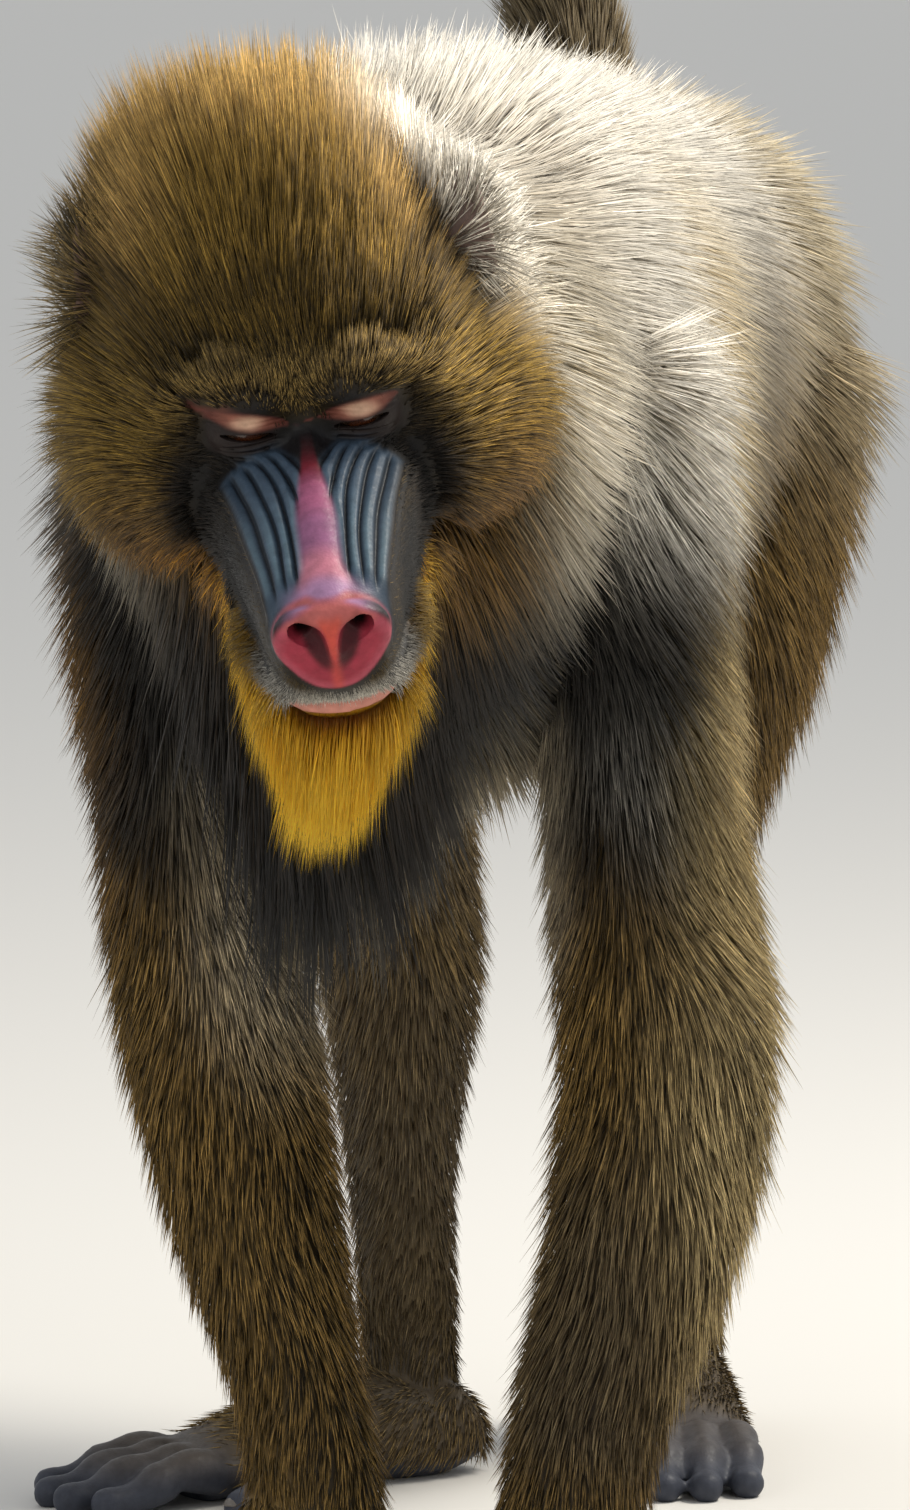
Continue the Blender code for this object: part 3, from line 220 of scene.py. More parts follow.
NOSE_WINGS = ((0.95, 10.25, -2.1), (1.1, 0.8, 1.45))
NOSTRIL = [
    (0.46, 11.42, -2.75, 0.2), (0.52, 11.5, -2.2, 0.36), (0.7, 11.3, -1.6, 0.5), (1.08, 10.95, -1.25, 0.5),
    (1.2, 10.2, -1.1, 0.34),
]
MOUTH_FLATNESS = 0.3
EYE_RADIUS = 11.5 * MM
EYEBALL_SHARE = 0.985
SOCKET_ROOM = 0.45 * MM
LID_THICKNESS = 2.4 * MM
LID_WIDENING = 1.12
# The slit between the lids: tilt and turn in radians, and its middle ahead of the eye's centre
EYE_SLIT_TILT = math.radians(7)
EYE_SLIT_TURN = 0.1
EYE_SLIT_REACH = 1.15
SLIT_SIZE = (1.05, 0.75, 0.17)
# Eyeball: where it looks, and how far from there, in degrees, pupil, iris and dark rim of the iris reach
GAZE_DROP = math.radians(-12)
CORNEA_RISE = 0.03
CORNEA_EDGE = 32
PUPIL_EDGE = (9, 12)
IRIS_EDGE = (26, 30)
IRIS_RIM_EDGE = (29, 33)
EAR_PLACE = (6.3, -8.3, 1.8)
EAR_CAP = 0.3
# The ear's shell and its cup from the root out: place beside the ear's centre, half width and half height
EAR_SHELL = [(-1.3, 0.0, -0.1, 1.2, 1.4), (0.2, -0.1, 0.0, 1.55, 2.0), (1.2, -0.3, 0.1, 1.75, 2.3)]
EAR_CUP = [(0.6, 0.0, 0.0, 0.5, 0.8), (1.3, -0.1, 0.1, 1.25, 1.8), (3.0, -0.1, 0.2, 2.0, 2.6)]
# Centre and radii of the bare ear
EAR_SKIN = ((6.9, -8.3, 1.8), (1.75, 2.1, 2.6))

# The ridges beside the bridge start spread out under the eye, turn down and close up towards the nose: their
# first and last place aside at the top and at the nose, their run along the muzzle and how sharply they bend
RIDGES = 5
RIDGE_TOP = (1.35, 3.25)
RIDGE_LOW = (0.3, 2.05)
RIDGE_SPAN = (0.5, 9.5)
RIDGE_BEND = (4.2, 1.25)
RIDGE_HEIGHT = 1.9 * MM
GROOVE_DEPTH = 0.5 * MM
LID_FOLD = 0.5 * MM
LID_CREASE = 0.12 * MM

DIGITS = (-1.5, -0.5, 0.5, 1.5)
DIGIT_RADIUS = 0.84
DIGIT_SPACING = 1.5
# How far a digit in the middle would reach, and how much less each reaches for its place away from there
FINGER_REACH = (12.6, 0.75)
TOE_REACH = (17.6, 0.9)
# Hand, ahead of the wrist: palm as stations; thumb by distance aside, reach, height and radius
PALM = [(0.2, 7.2, 2.7, 1.9), (2.2, 4.8, 2.95, 1.6), (4.6, 2.5, 3.0, 1.25)]
THUMB = [(1.9, 1.8, 4.9, 1.0), (3.2, 3.6, 2.6, 0.85), (3.6, 5.2, 1.05, 0.72), (3.7, 6.6, 0.62, 0.6)]
# Finger by share of its spread, reach, height and share of the digit's radius; the tip's reach is from its end
FINGER = [(0.9, 4.4, 2.5, 1 / DIGIT_RADIUS), (1.0, 5.6, 2.55, 1.18), (1.1, 6.9, 2.0, 0.88),
          (1.2, 8.5, 1.45, 1.14), (1.24, 9.7, 0.9, 0.86)]
FINGER_TIP = [(1.26, 1.4, 0.8, 0.96), (1.28, 0.0, 0.66, 0.8)]
# Foot, ahead of the heel, in the same way
SOLE = [(-2.1, 2.5, 1.75, 1.9), (-0.4, 1.9, 2.0, 1.9), (3.0, 2.5, 2.35, 2.4), (7.0, 2.0, 2.8, 1.9),
        (11.0, 1.3, 3.1, 1.35)]
TOE = [(0.95, 10.6, 1.4, 0.95 / DIGIT_RADIUS), (1.06, 12.0, 1.75, 1.18), (1.1, 13.2, 1.65, 0.9)]
TOE_TIP = [(1.14, 2.6, 1.4, 1.14), (1.17, 1.3, 0.85, 0.84), (1.18, 0.0, 0.72, 0.9)]
GREAT_TOE = [(1.6, 5.2, 1.9, 1.3), (3.3, 7.4, 1.15, 1.05), (4.7, 9.6, 0.9, 0.95), (5.1, 10.6, 0.75, 0.8),
             (5.4, 11.4, 0.65, 0.72)]
# Nails: distance ahead of the tip, slope, half width, length against width, and height. Those of the thumb
# and the great toe are given by their place aside, ahead and in height, and by their half width
NAIL_AHEAD = 0.12
NAIL_SLOPE = 0.42
NAIL_HALF = 0.38
NAIL_LENGTH = 1.35
FINGERNAIL_HEIGHT = 1.0
TOENAIL_HEIGHT = 1.02
THUMBNAIL = ((3.7, 6.75, 0.95), 0.34)
GREAT_TOENAIL = ((5.42, 11.5, 1.02), 0.5)
# Feet: middle of the heel on the floor and how far the toes turn out
FOOT = {"right": ((-5.4, 18.6), -52.0), "left": ((4.0, 31.0), 10.0)}
# The way to the inner side of a limb
INNER = {"right": 1.0, "left": -1.0}

# How square the rings of a form are, where 2 is an ellipse
SQUARE_TRUNK = 2.3
SQUARE_NECK = 2.2
SQUARE_MUZZLE = 2.35
CAP_ANGLES = (math.radians(65), math.radians(32))
# Share of the faces of the skin that is kept under the coat, and on the ears, hands and feet
UNDER_COAT_DETAIL = 0.05
LIMB_DETAIL = 0.5
FLOOR_CUT = 0.2 * MM

# Tones of the face between its main colours, with the painted shade of the nostrils and the painted highlight
# on the lids
BRIDGE_ROOT = "#35181a"
BRIDGE_VIOLET = "#835475"
BRIDGE_PINK = "#b8707f"
NOSE_EDGE = "#b45866"
# Painted shade round the openings of the nostrils and inside them
NOSTRIL_SHADE = "#22080a"
NOSTRIL_INSIDE_SHADE = "#0a0304"
UPPER_LIP_GREY = "#7c6f68"
LID_DARK = "#251c19"
LID_RUST = "#5d3027"
# Painted highlight on the middle of the upper lids
LID_HIGHLIGHT = "#dcb496"
IRIS_RIM = "#1c0e06"
PUPIL = (0.002, 0.002, 0.002)

# The stage, in metres: lamps by place, size and colour, and the camera by its angles, distance and target
FLOOR_SIZE = 60.0
LAMPS = {"key": ((1.4, 0.7, 2.3), 0.8, (1.0, 0.95, 0.86)), "fill": ((-1.2, -3.2, 1.3), 2.0, (1.0, 0.97, 0.92))}
LAMP_AIM = (2, -10, 42)
SKY_COLOUR = (0.93, 0.96, 1.0, 1.0)
CAMERA_AZIMUTH = math.radians(9)
CAMERA_ELEVATION = math.radians(6.5)
CAMERA_DISTANCE = 4.0
CAMERA_TARGET = (0.031, -0.24, 0.362)
# The photograph is this many pixels tall, and its focal length comes to this many of them
PHOTO_HEIGHT = 1510
PHOTO_FOCAL = 10400
SENSOR = 36.0

SIDES = (("left", 1.0), ("right", -1.0))
FLESH_NODES = ["head", "neck", "torso", "tail"] + [
    part + "_" + side for part in ("upper_arm", "forearm", "hand", "thigh", "shank", "foot", "ear")
    for side, _ in SIDES
]


def linear(hex_value):
    """An sRGB hex colour as linear red, green and blue."""
    parts = [int(hex_value[i : i + 2], 16) / 255 for i in (1, 3, 5)]
    return tuple(c / 12.92 if c <= 0.04045 else ((c + 0.055) / 1.055) ** 2.4 for c in parts)


def swatch(name, hex_value, description):
    return FloatVectorProperty(name=name, description=description, default=linear(hex_value), size=3, min=0,
                               max=1, subtype="COLOR")


class MandrillSkin(bpy.types.PropertyGroup):
    voxel: FloatProperty(name="Skin detail", description="Size of the smallest form in the skin",
                         default=2.2 * MM, min=1 * MM, max=8 * MM, unit="LENGTH", precision=4)
    share: FloatProperty(name="Skin depth", description="Share of the coat's depth at which the skin lies",
                         default=0.42, min=0.0, max=0.5, subtype="FACTOR")
    charcoal: swatch("Bare face", "#161415", "Skin beside the ridges and under the hair of the face")
    slate: swatch("Ridges", "#3b4a59", "Blue skin of the ridges beside the nose")
    # The paler crowns are a painted highlight on the tops of the ridges.
    crown_highlight: swatch("Ridge crowns", "#68808a", "Paler crowns of the ridges")
    # The near-black of the grooves is painted shade down in them.
    groove: swatch("Grooves", "#070a10", "Skin down in the grooves between the ridges")
    oxblood: swatch("Bridge, top", "#641a26", "Top of the bridge of the nose")
    mauve: swatch("Bridge, middle", "#93506e", "Middle of the bridge of the nose")
    lilac: swatch("Bridge, end", "#a37a9c", "End of the bridge over the nostrils")
    crimson: swatch("Nose", "#96303f", "Disc of the nose")
    peach: swatch("Nose rim", "#b5655a", "Upper rim of the nose")
    vermilion: swatch("Septum", "#c44e3c", "Wall between the nostrils")
    lid: swatch("Upper lids", "#99604f", "Pale upper lids")
    lip: swatch("Lips", "#c58474", "Lower lip")
    ear: swatch("Ears", "#6a524a", "Skin of the ears")
    palm: swatch("Hands and feet", "#3a3d46", "Blue-grey skin of the hands and feet")
    seat: swatch("Seat", "#6e6e9e", "Violet-blue skin under the tail")
    rose: swatch("Seat, middle", "#9a5462", "Rose skin in the middle of the seat and on its pads")


class MandrillEyes(bpy.types.PropertyGroup):
    iris: swatch("Iris", "#43200e", "Amber-brown iris")
    white: swatch("White", "#3c2c22", "White of the eye, stained brown")
    nail: swatch("Nails", "#5f5952", "Horn of the nails")


class MandrillCoat(bpy.types.PropertyGroup):
    fullness: FloatProperty(name="Fullness", description="Number of wisps against what the guides ask for",
                            default=1.58, min=0.05, max=2.0, subtype="FACTOR")
    coarseness: FloatProperty(name="Coarseness", description="Width of the wisps against what the guides say",
                              default=0.74, min=0.3, max=3.0, subtype="FACTOR")
    under: swatch("Undercoat", "#463a2a", "Coat where nothing else is marked, at the skin")
    drab: swatch("Drab", "#a2854a", "Coat where nothing else is marked, at the tips")
    soot: swatch("Soot", "#16130f", "Darkest hair, at the brow and the muzzle")
    ash: swatch("Ash", "#35322e", "Grey tips on dark hair")
    olive: swatch("Olive", "#231c0b", "Dark olive hair of the crest and forehead")
    gold: swatch("Gold", "#9b7c30", "Golden tips of the cheeks")
    umber: swatch("Umber", "#2c1f0e", "Brown hair of the cheeks and the throat")
    bronze: swatch("Bronze", "#7c6128", "Brown-gold tips of the crest and forehead")
    honey: swatch("Honey", "#8f6a32", "Golden-brown tips of the lower cheeks")
    dove: swatch("Dove", "#77694e", "Grey-beige hair at the edge of the ruff")
    sand: swatch("Sand", "#cfc0a0", "Pale tips at the edge of the ruff")
    amber: swatch("Beard, roots", "#dd9a10", "Orange hair of the beard")
    saffron: swatch("Beard, tips", "#ffd03c", "Yellow tips of the beard")
    # The silvery and creamy white of the shoulders and the back are partly the coat's grizzled colour and
    # partly painted sunlight on it
    sunlit_silver: swatch("Mantle, roots", "#aaa191", "Silvery hair of the shoulders and the back")
    sunlit_cream: swatch("Mantle, tips", "#f1ebdf", "White-cream tips of the shoulders and the back")
    straw: swatch("Flank, roots", "#8f7a52", "Straw-coloured hair in front of the flank")
    butter: swatch("Flank, tips", "#dcc48e", "Pale gold tips in front of the flank")
    bark: swatch("Muzzle, tips", "#2a2118", "Tips of the short dark hair of the muzzle")
    tan: swatch("Thigh, roots", "#40311c", "Warm brown hair of the thighs")
    fawn: swatch("Thigh, tips", "#9c7d46", "Tan tips of the thighs, the forearms and the crest")
    pewter: swatch("Chest, roots", "#8a7f70", "Beige-grey hair of the chest and the belly")
    chalk: swatch("Lip hair", "#d5cfc2", "Whitish hair of the upper lip and long hair of the chest")


class MandrillStage(bpy.types.PropertyGroup):
    floor: swatch("Floor", "#d9d6d0", "Pale plain floor")
    key: FloatProperty(name="Key light", description="Power of the lamp above and behind the left shoulder",
                       default=72.0, min=0.0, unit="POWER")
    fill: FloatProperty(name="Fill light", description="Power of the large lamp in front",
                        default=16.0, min=0.0, unit="POWER")
    sky: FloatProperty(name="Surroundings", description="Strength of the even light from all round",
                       default=0.7, min=0.0)


# Shapes


def head_point(left, forward, up):
    """A place given in the head's axes and centimetres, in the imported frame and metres."""
    return SHIFT + (Vector(HEAD_ORIGIN) + HEAD_AXES @ Vector((left, forward, up))) * CM


def body_point(x, y, z):
    """A place in the working frame's centimetres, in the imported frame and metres."""
    return SHIFT + Vector((x, y, z)) * CM


def mirrored(place, mirror):
    """A place on the left side, or its mirror image where mirror is -1."""
    return (place[0] * mirror, *place[1:])


def only(obj):
    """Makes one object the whole selection."""
    bpy.ops.object.select_all(action="DESELECT")
    obj.select_set(True)
    bpy.context.view_layer.objects.active = obj
    return obj


def finish_with(obj, kind, **settings):
    """Adds a modifier with its settings and applies it."""
    only(obj)
    step = obj.modifiers.new(kind.lower(), kind)
    for key, value in settings.items():
        setattr(step, key, value)
    bpy.ops.object.modifier_apply(modifier=step.name)
    return obj


def joined(objects, name):
    bpy.ops.object.select_all(action="DESELECT")
    for obj in objects:
        obj.select_set(True)
    bpy.context.view_layer.objects.active = objects[0]
    if len(objects) > 1:
        bpy.ops.object.join()
    objects[0].name = name
    objects[0].data.name = name
    return objects[0]


def vectors(items, key):
    """One vector of every vertex or face of a mesh, as rows."""
    rows = np.empty(len(items) * 3)
    items.foreach_get(key, rows)
    return rows.reshape(-1, 3)


def coordinates(mesh):
    return vectors(mesh.vertices, "co")


def place_vertices(mesh, co):
    mesh.vertices.foreach_set("co", np.ascontiguousarray(co, dtype=np.float32).ravel())
    mesh.update()


def smooth_track(rows, steps):
    """Rows of numbers with Catmull-Rom steps put in between them."""
    padded = [rows[0]] + list(rows) + [rows[-1]]
    track = []
    for i in range(1, len(padded) - 2):
        before, start, end, after = padded[i - 1 : i + 3]
        for step in range(steps):
            t = step / steps
            track.append(tuple(
                0.5 * (2 * b + (c - a) * t + (2 * a - 5 * b + 4 * c - d) * t * t
                       + (3 * b - a - 3 * c + d) * t ** 3)
                for a, b, c, d in zip(before, start, end, after)))
    track.append(tuple(rows[-1]))
    return track


def tube_rows(stations, share, place, mirror):
    """Centre, half width, half depth and coat of each station in metres, with a share of the coat left on."""
    rows = []
    for x, y, z, half_width, half_depth, coat in stations:
        cut = coat * (1.0 - share)
        rows.append((*place(x * mirror, y, z), (half_width - cut) * CM, (half_depth - cut) * CM, coat * CM))
    return rows


def tube_axes(track, i, side):
    """The way along a track at one of its rows, and the two ways across it."""
    last = len(track) - 1
    along = (Vector(track[min(i + 1, last)][:3]) - Vector(track[max(i - 1, 0)][:3])).normalized()
    across = (side - along * side.dot(along)).normalized()
    return along, across, along.cross(across)


def ring_offset(angle, across, deep, half_width, half_depth, power):
    """From the middle of a ring to its edge at an angle."""
    c, s = math.cos(angle), math.sin(angle)
    wide = math.copysign(abs(c) ** (2 / power), c) * half_width
    high = math.copysign(abs(s) ** (2 / power), s) * half_depth
    return across * wide + deep * high


def cap_rings(row, out, across, deep, reach):
    """The rings that round off the end of a tube, from its very end inwards."""
    return [(Vector(row[:3]) + out * reach * math.sin(angle), across, deep, row[3] * math.cos(angle),
             row[4] * math.cos(angle)) for angle in CAP_ANGLES]


def tube(name, stations, side=X_AXIS, power=2.0, share=1.0, place=body_point, mirror=1.0, cap=0.45, sides=28,
         steps=4):
    """A ball primitive drawn out along stations into a closed tube with rounded ends."""
    track = smooth_track(tube_rows(stations, share, place, mirror), steps)
    rings = []
    last = len(track) - 1
    for i, row in enumerate(track):
        along, across, deep = tube_axes(track, i, side)
        reach = min(row[3], row[4]) * cap
        middle = Vector(row[:3])
        if i == 0:
            start = middle - along * reach
            rings += cap_rings(row, -along, across, deep, reach)
        rings.append((middle, across, deep, row[3], row[4]))
        if i == last:
            end = middle + along * reach
            rings += cap_rings(row, along, across, deep, reach)[::-1]
    bpy.ops.mesh.primitive_uv_sphere_add(segments=sides, ring_count=len(rings) + 1, radius=1.0)
    obj = bpy.context.object
    obj.name = name
    spots = coordinates(obj.data)
    level = np.rint(np.arccos(np.clip(spots[:, 2], -1, 1)) / math.pi * (len(rings) + 1)).astype(int)
    angles = np.arctan2(spots[:, 1], spots[:, 0])
    for k, (ring, angle) in enumerate(zip(level, angles)):
        if ring == 0:
            spots[k] = end
        elif ring > len(rings):
            spots[k] = start
        else:
            middle, across, deep, wide, tall = rings[len(rings) - ring]
            spots[k] = middle + ring_offset(angle, across, deep, wide, tall, power)
    place_vertices(obj.data, spots)
    return obj


def rod(name, points, place=head_point, mirror=1.0, flat=1.0, side=X_AXIS, sides=12, steps=3):
    """A round bar through points given with their radius."""
    stations = [(x, y, z, r, r * flat, 0.0) for x, y, z, r in points]
    return tube(name, stations, side=side, place=place, mirror=mirror, cap=0.9, sides=sides, steps=steps)


def both_ways(points):
    """A bar's points given from the middle out, run from one side of the face to the other."""
    return [(-s, f, u, r) for s, f, u, r in reversed(points[1:])] + points


def ball(name, centre, half_sizes, place=head_point, axes=HEAD_AXES, segments=32, rings=18):
    """A ball with half sizes in centimetres along the given axes."""
    bpy.ops.mesh.primitive_uv_sphere_add(segments=segments, ring_count=rings, radius=1.0)
    obj = bpy.context.object
    obj.name = name
    shape = axes.to_4x4() @ Matrix.Diagonal((*(Vector(half_sizes) * CM), 1.0))
    obj.data.transform(Matrix.Translation(place(*centre)) @ shape)
    if axes.determinant() < 0:
        obj.data.flip_normals()
    return obj


def boolean(obj, others, operation):
    """Applies one Boolean with all of the other closed meshes, which are then removed."""
    group = bpy.data.collections.new("operands")
    bpy.context.scene.collection.children.link(group)
    for other in others:
        for home in list(other.users_collection):
            home.objects.unlink(other)
        group.objects.link(other)
    finish_with(obj, "BOOLEAN", operation=operation, solver="MANIFOLD", operand_type="COLLECTION",
                collection=group)
    for other in others:
        bpy.data.objects.remove(other, do_unlink=True)
    bpy.data.collections.remove(group)
    return obj


def keep_largest(obj):
    """Drops every closed surface but the one with the most vertices."""
    only(obj)
    bm = bmesh.new()
    bm.from_mesh(obj.data)
    bm.verts.ensure_lookup_table()
    seen = [False] * len(bm.verts)
    shells = []
    for start in bm.verts:
        if seen[start.index]:
            continue
        seen[start.index] = True
        stack, shell = [start], []
        while stack:
            vert = stack.pop()
            shell.append(vert)
            for edge in vert.link_edges:
                other = edge.other_vert(vert)
                if not seen[other.index]:
                    seen[other.index] = True
                    stack.append(other)
        shells.append(shell)
    shells.sort(key=len)
    bmesh.ops.delete(bm, geom=[vert for shell in shells[:-1] for vert in shell], context="VERTS")
    bm.to_mesh(obj.data)
    bm.free()
    return obj


# The skin


def in_work(points):
    """Packed-frame points in the working frame's centimetres."""
    return (np.asarray(points) - np.array(SHIFT)) / CM


def in_head(points):
    """Packed-frame points in the head's axes and centimetres."""
    return (in_work(points) - np.array(HEAD_ORIGIN)) @ np.array(HEAD_AXES)


def folded(spots):
    """Spots with those of the right side laid over on the left one."""
    spots = spots.copy()
    spots[:, 0] = np.abs(spots[:, 0])
    return spots


def ball_distance(spots, centre, radii):
    """How far each spot is from a centre, where a ball of these radii has its surface at 1."""
    return np.linalg.norm((spots - np.array(centre)) / np.array(radii), axis=1)


def step(low, high, value):
    """A smooth rise from 0 at low to 1 at high."""
    t = np.clip((value - low) / (high - low), 0.0, 1.0)
    return t * t * (3 - 2 * t)


def digit_points(digit, reach, knuckles, tip):
    """A finger or toe from its root to its end, as distance aside, reach, height and radius."""
    shift = digit * DIGIT_SPACING
    end = reach[0] - reach[1] * abs(digit)
    rows = knuckles + [(spread, end - back, height, share) for spread, back, height, share in tip]
    return [(shift * spread, ahead, height, DIGIT_RADIUS * share) for spread, ahead, height, share in rows]


def hand_forms(side):
    """Wrist, raised palm, four fingers with their knuckles laid on the floor, and a short thumb."""
    x, y = FORELEG[side][7][:2]
    forms = [tube("palm", [(x, y - ahead, height, wide, deep, 0) for ahead, height, wide, deep in PALM])]
    for digit in DIGITS:
        points = digit_points(digit, FINGER_REACH, FINGER, FINGER_TIP)
        forms.append(rod("finger", [(x + s, y - ahead, height, r) for s, ahead, height, r in points],
                         place=body_point))
    thumb = [(x + INNER[side] * s, y - ahead, height, r) for s, ahead, height, r in THUMB]
    forms.append(rod("thumb", thumb, place=body_point))
    return forms


def foot_place(side):
    """A function that places a spot given aside, ahead and up from a heel, and the ways aside and ahead."""
    (heel_x, heel_y), turn = FOOT[side]
    angle = math.radians(turn)
    ahead = Vector((math.sin(angle), -math.cos(angle), 0))
    aside = Vector((math.cos(angle), math.sin(angle), 0))

    def place(s, d, z):
        return SHIFT + (Vector((heel_x, heel_y, z)) + ahead * d + aside * s) * CM

    return place, aside, ahead


def foot_forms(side):
    """Heel, sole and ball, four long toes and the great toe, which stands off on the inner side."""
    place, aside, _ = foot_place(side)
    sole = [(0, ahead, height, wide, deep, 0) for ahead, height, wide, deep in SOLE]
    forms = [tube("sole", sole, place=place, side=aside)]
    for digit in DIGITS:
        forms.append(rod("toe", digit_points(digit, TOE_REACH, TOE, TOE_TIP), place=place, side=aside))
    great_toe = [(INNER[side] * s, ahead, height, r) for s, ahead, height, r in GREAT_TOE]
    forms.append(rod("great toe", great_toe, place=place, side=aside))
    return forms


def ear_form(mirror):
    """A round ear with a hollow cup and a rolled rim."""
    left, forward, up = EAR_PLACE
    shell, cup = ([((left + s) * mirror, forward + d, up + z, wide, tall, 0) for s, d, z, wide, tall in rows]
                  for rows in (EAR_SHELL, EAR_CUP))
    ear = tube("ear", shell, side=HEAD_FORWARD, place=head_point, cap=EAR_CAP)
    return boolean(ear, [tube("cup", cup, side=HEAD_FORWARD, place=head_point)], "DIFFERENCE")


def head_forms(share):
    """Skull, cheeks, muzzle, jaw and throat, with the nose, lips, brow and lids on them."""
    on_head = {"place": head_point, "side": HEAD_LEFT}
    forms = [tube("skull", CRANIUM, share=share, **on_head),
             tube("muzzle", MUZZLE, power=SQUARE_MUZZLE, **on_head),
             tube("jaw", JAW, share=share, **on_head), tube("gullet", GULLET, share=share, **on_head),
             rod("brow", both_ways(BROW_BAR), side=HEAD_FORWARD),
             rod("bridge", NOSE_BRIDGE, side=HEAD_LEFT, flat=0.7), rod("septum", SEPTUM, side=HEAD_LEFT),
             rod("upper lip", both_ways(UPPER_LIP), side=HEAD_UP),
             rod("lower lip", both_ways(LOWER_LIP), side=HEAD_UP),
             rod("rim", both_ways(NOSE_RIM), side=HEAD_FORWARD)]
    reach = (EYE_RADIUS + LID_THICKNESS) / CM
    wing, wing_size = NOSE_WINGS
    for _, mirror in SIDES:
        forms.append(tube("cheek", CHEEK, share=share, mirror=mirror, **on_head))
        forms.append(rod("cheekbone", CHEEKBONE, mirror=mirror))
        forms.append(ball("wing", mirrored(wing, mirror), wing_size))
        forms.append(ball("lid", mirrored(EYE_PLACE, mirror), (reach * LID_WIDENING, reach, reach)))
        forms.append(ear_form(mirror))
    return forms


def body_forms(share):
    """Torso, neck, belly and tail, the legs with their hands and feet, and the seat pads."""
    forms = [tube("torso", TORSO, power=SQUARE_TRUNK, share=share),
             tube("neck", NECK, power=SQUARE_NECK, share=share), tube("tail", TAIL, share=share),
             tube("belly", BELLY, power=SQUARE_TRUNK, share=share)]
    for side, _ in SIDES:
        forms.append(tube("foreleg", FORELEG[side], share=share))
        forms.append(tube("hindleg", HINDLEG[side], share=share))
        forms.append(ball("seat pad", SEAT_PADS[side], SEAT_PAD_SIZE, body_point, Matrix.Identity(3)))
        forms += hand_forms(side) + foot_forms(side)
    return forms


def ridge_field(head):
    """How far across the ridges and how far down them each head-frame spot lies, both from 0 to 1."""
    left = np.abs(head[:, 0])
    down = (head[:, 1] - RIDGE_SPAN[0]) / (RIDGE_SPAN[1] - RIDGE_SPAN[0])
    left_to_go = 1 - np.clip(down, 0, 1)
    low, high = np.full(len(head), -0.6), np.full(len(head), 1.6)
    for _ in range(14):
        share = (low + high) / 2
        bend = RIDGE_BEND[0] + (RIDGE_BEND[1] - RIDGE_BEND[0]) * np.clip(share, 0, 1)
        foot = RIDGE_LOW[0] + (RIDGE_LOW[1] - RIDGE_LOW[0]) * share
        top = RIDGE_TOP[0] + (RIDGE_TOP[1] - RIDGE_TOP[0]) * share
        beyond = foot + (top - foot) * left_to_go ** bend > left
        high, low = np.where(beyond, share, high), np.where(beyond, low, share)
    return (low + high) / 2, down


def ridge_wave(head):
    """The rise of the ridges and where their grooves sink at head-frame spots; the same numbers give the
    painted highlight on the crowns and the painted shade down the grooves.
    """
    share, down = ridge_field(head)
    across = share * (RIDGES - 1) + 0.03 * np.sin(1.3 * head[:, 1] + 9 * share + (head[:, 0] < 0))
    off_crown = np.abs(across - np.rint(np.clip(across, 0, RIDGES - 1)))
    held = step(-0.03, 0.1, down) * (1 - step(0.9, 1.02, down)) * step(-5.2, -4.2, head[:, 2])
    rise = (1 - step(0.12, 0.52, off_crown)) * held
    groove = step(0.3, 0.47, off_crown) * (1 - step(0.55, 0.85, off_crown)) * held
    return rise, groove


def bridge_half(forward):
    """Half the width of the red bridge of the nose along the muzzle, in centimetres."""
    return 0.24 + 0.5 * step(0.9, 6.5, forward) + 0.4 * step(8.4, 10.2, forward)


def lid_field(head):
    """How much of an eyelid each head-frame spot is, and how far it lies above the slit in centimetres."""
    off = folded(head) - np.array(EYE_PLACE)
    away = np.linalg.norm(off * np.array((0.85, 1.0, 1.0)), axis=1)
    on_lid = (1 - step(1.32, 1.62, away)) * step(0.1, 0.5, off[:, 1])
    above = off[:, 2] - 0.123 * off[:, 1] + 0.1 * off[:, 0]
    return on_lid, above


def lid_patch(head):
    """The pale crescent of the upper lid, which climbs from the corner by the nose to the outer one."""
    left = np.abs(head[:, 0])
    _, above = lid_field(head)
    right = head[:, 0] < 0
    line = 0.42 + np.where(right, 0.34, 0.22) * (left - 1.4)
    reach = np.clip(1 - ((left - np.where(right, 2.25, 2.1)) / np.where(right, 1.7, 1.45)) ** 2, 0.01, 1)
    return (1 - step(0.3, 1.2, np.abs(above - line) / (0.46 * np.sqrt(reach)))) * step(-1.7, -1.1, head[:, 1])


def shape_face(skin):
    """Raises the ridges beside the bridge and the folds of the lids out of the fine skin of the face."""
    mesh = skin.data
    co, normals = coordinates(mesh), vectors(mesh.vertices, "normal")
    head = in_head(co)
    left = np.abs(head[:, 0])
    rise, groove = ridge_wave(head)
    upward = step(0.0, 0.35, normals @ np.array(HEAD_UP))
    near = (head[:, 1] > -1) & (head[:, 1] < 11) & (left < 4)
    beside = step(-0.12, 0.12, left - bridge_half(head[:, 1]))
    lift = np.where(near, (rise * RIDGE_HEIGHT - groove * GROOVE_DEPTH) * upward * beside, 0.0)
    _, above = lid_field(head)
    off = np.stack([left - EYE_PLACE[0], head[:, 1] - EYE_PLACE[1] - 1.2, above + 0.75], 1)
    fold = 1 - step(0.6, 1.0, np.linalg.norm(off / np.array((1.6, 1.2, 0.75)), axis=1))
    lift += fold * LID_FOLD * np.sin(above / 0.27 * 2 * math.pi)
    away = np.linalg.norm(head * np.array((0, 1, 1)) - np.array((0, *EYE_PLACE[1:])), axis=1)
    crease = (1 - step(1.35, 1.6, away)) * (1 - step(1.2, 1.6, np.abs(left - EYE_PLACE[0])))
    crease = crease * step(0.15, 0.3, above)
    lift += crease * LID_CREASE * np.sin((above + 0.08 * head[:, 0]) / 0.2 * 2 * math.pi)
    place_vertices(mesh, co + normals * lift[:, None])


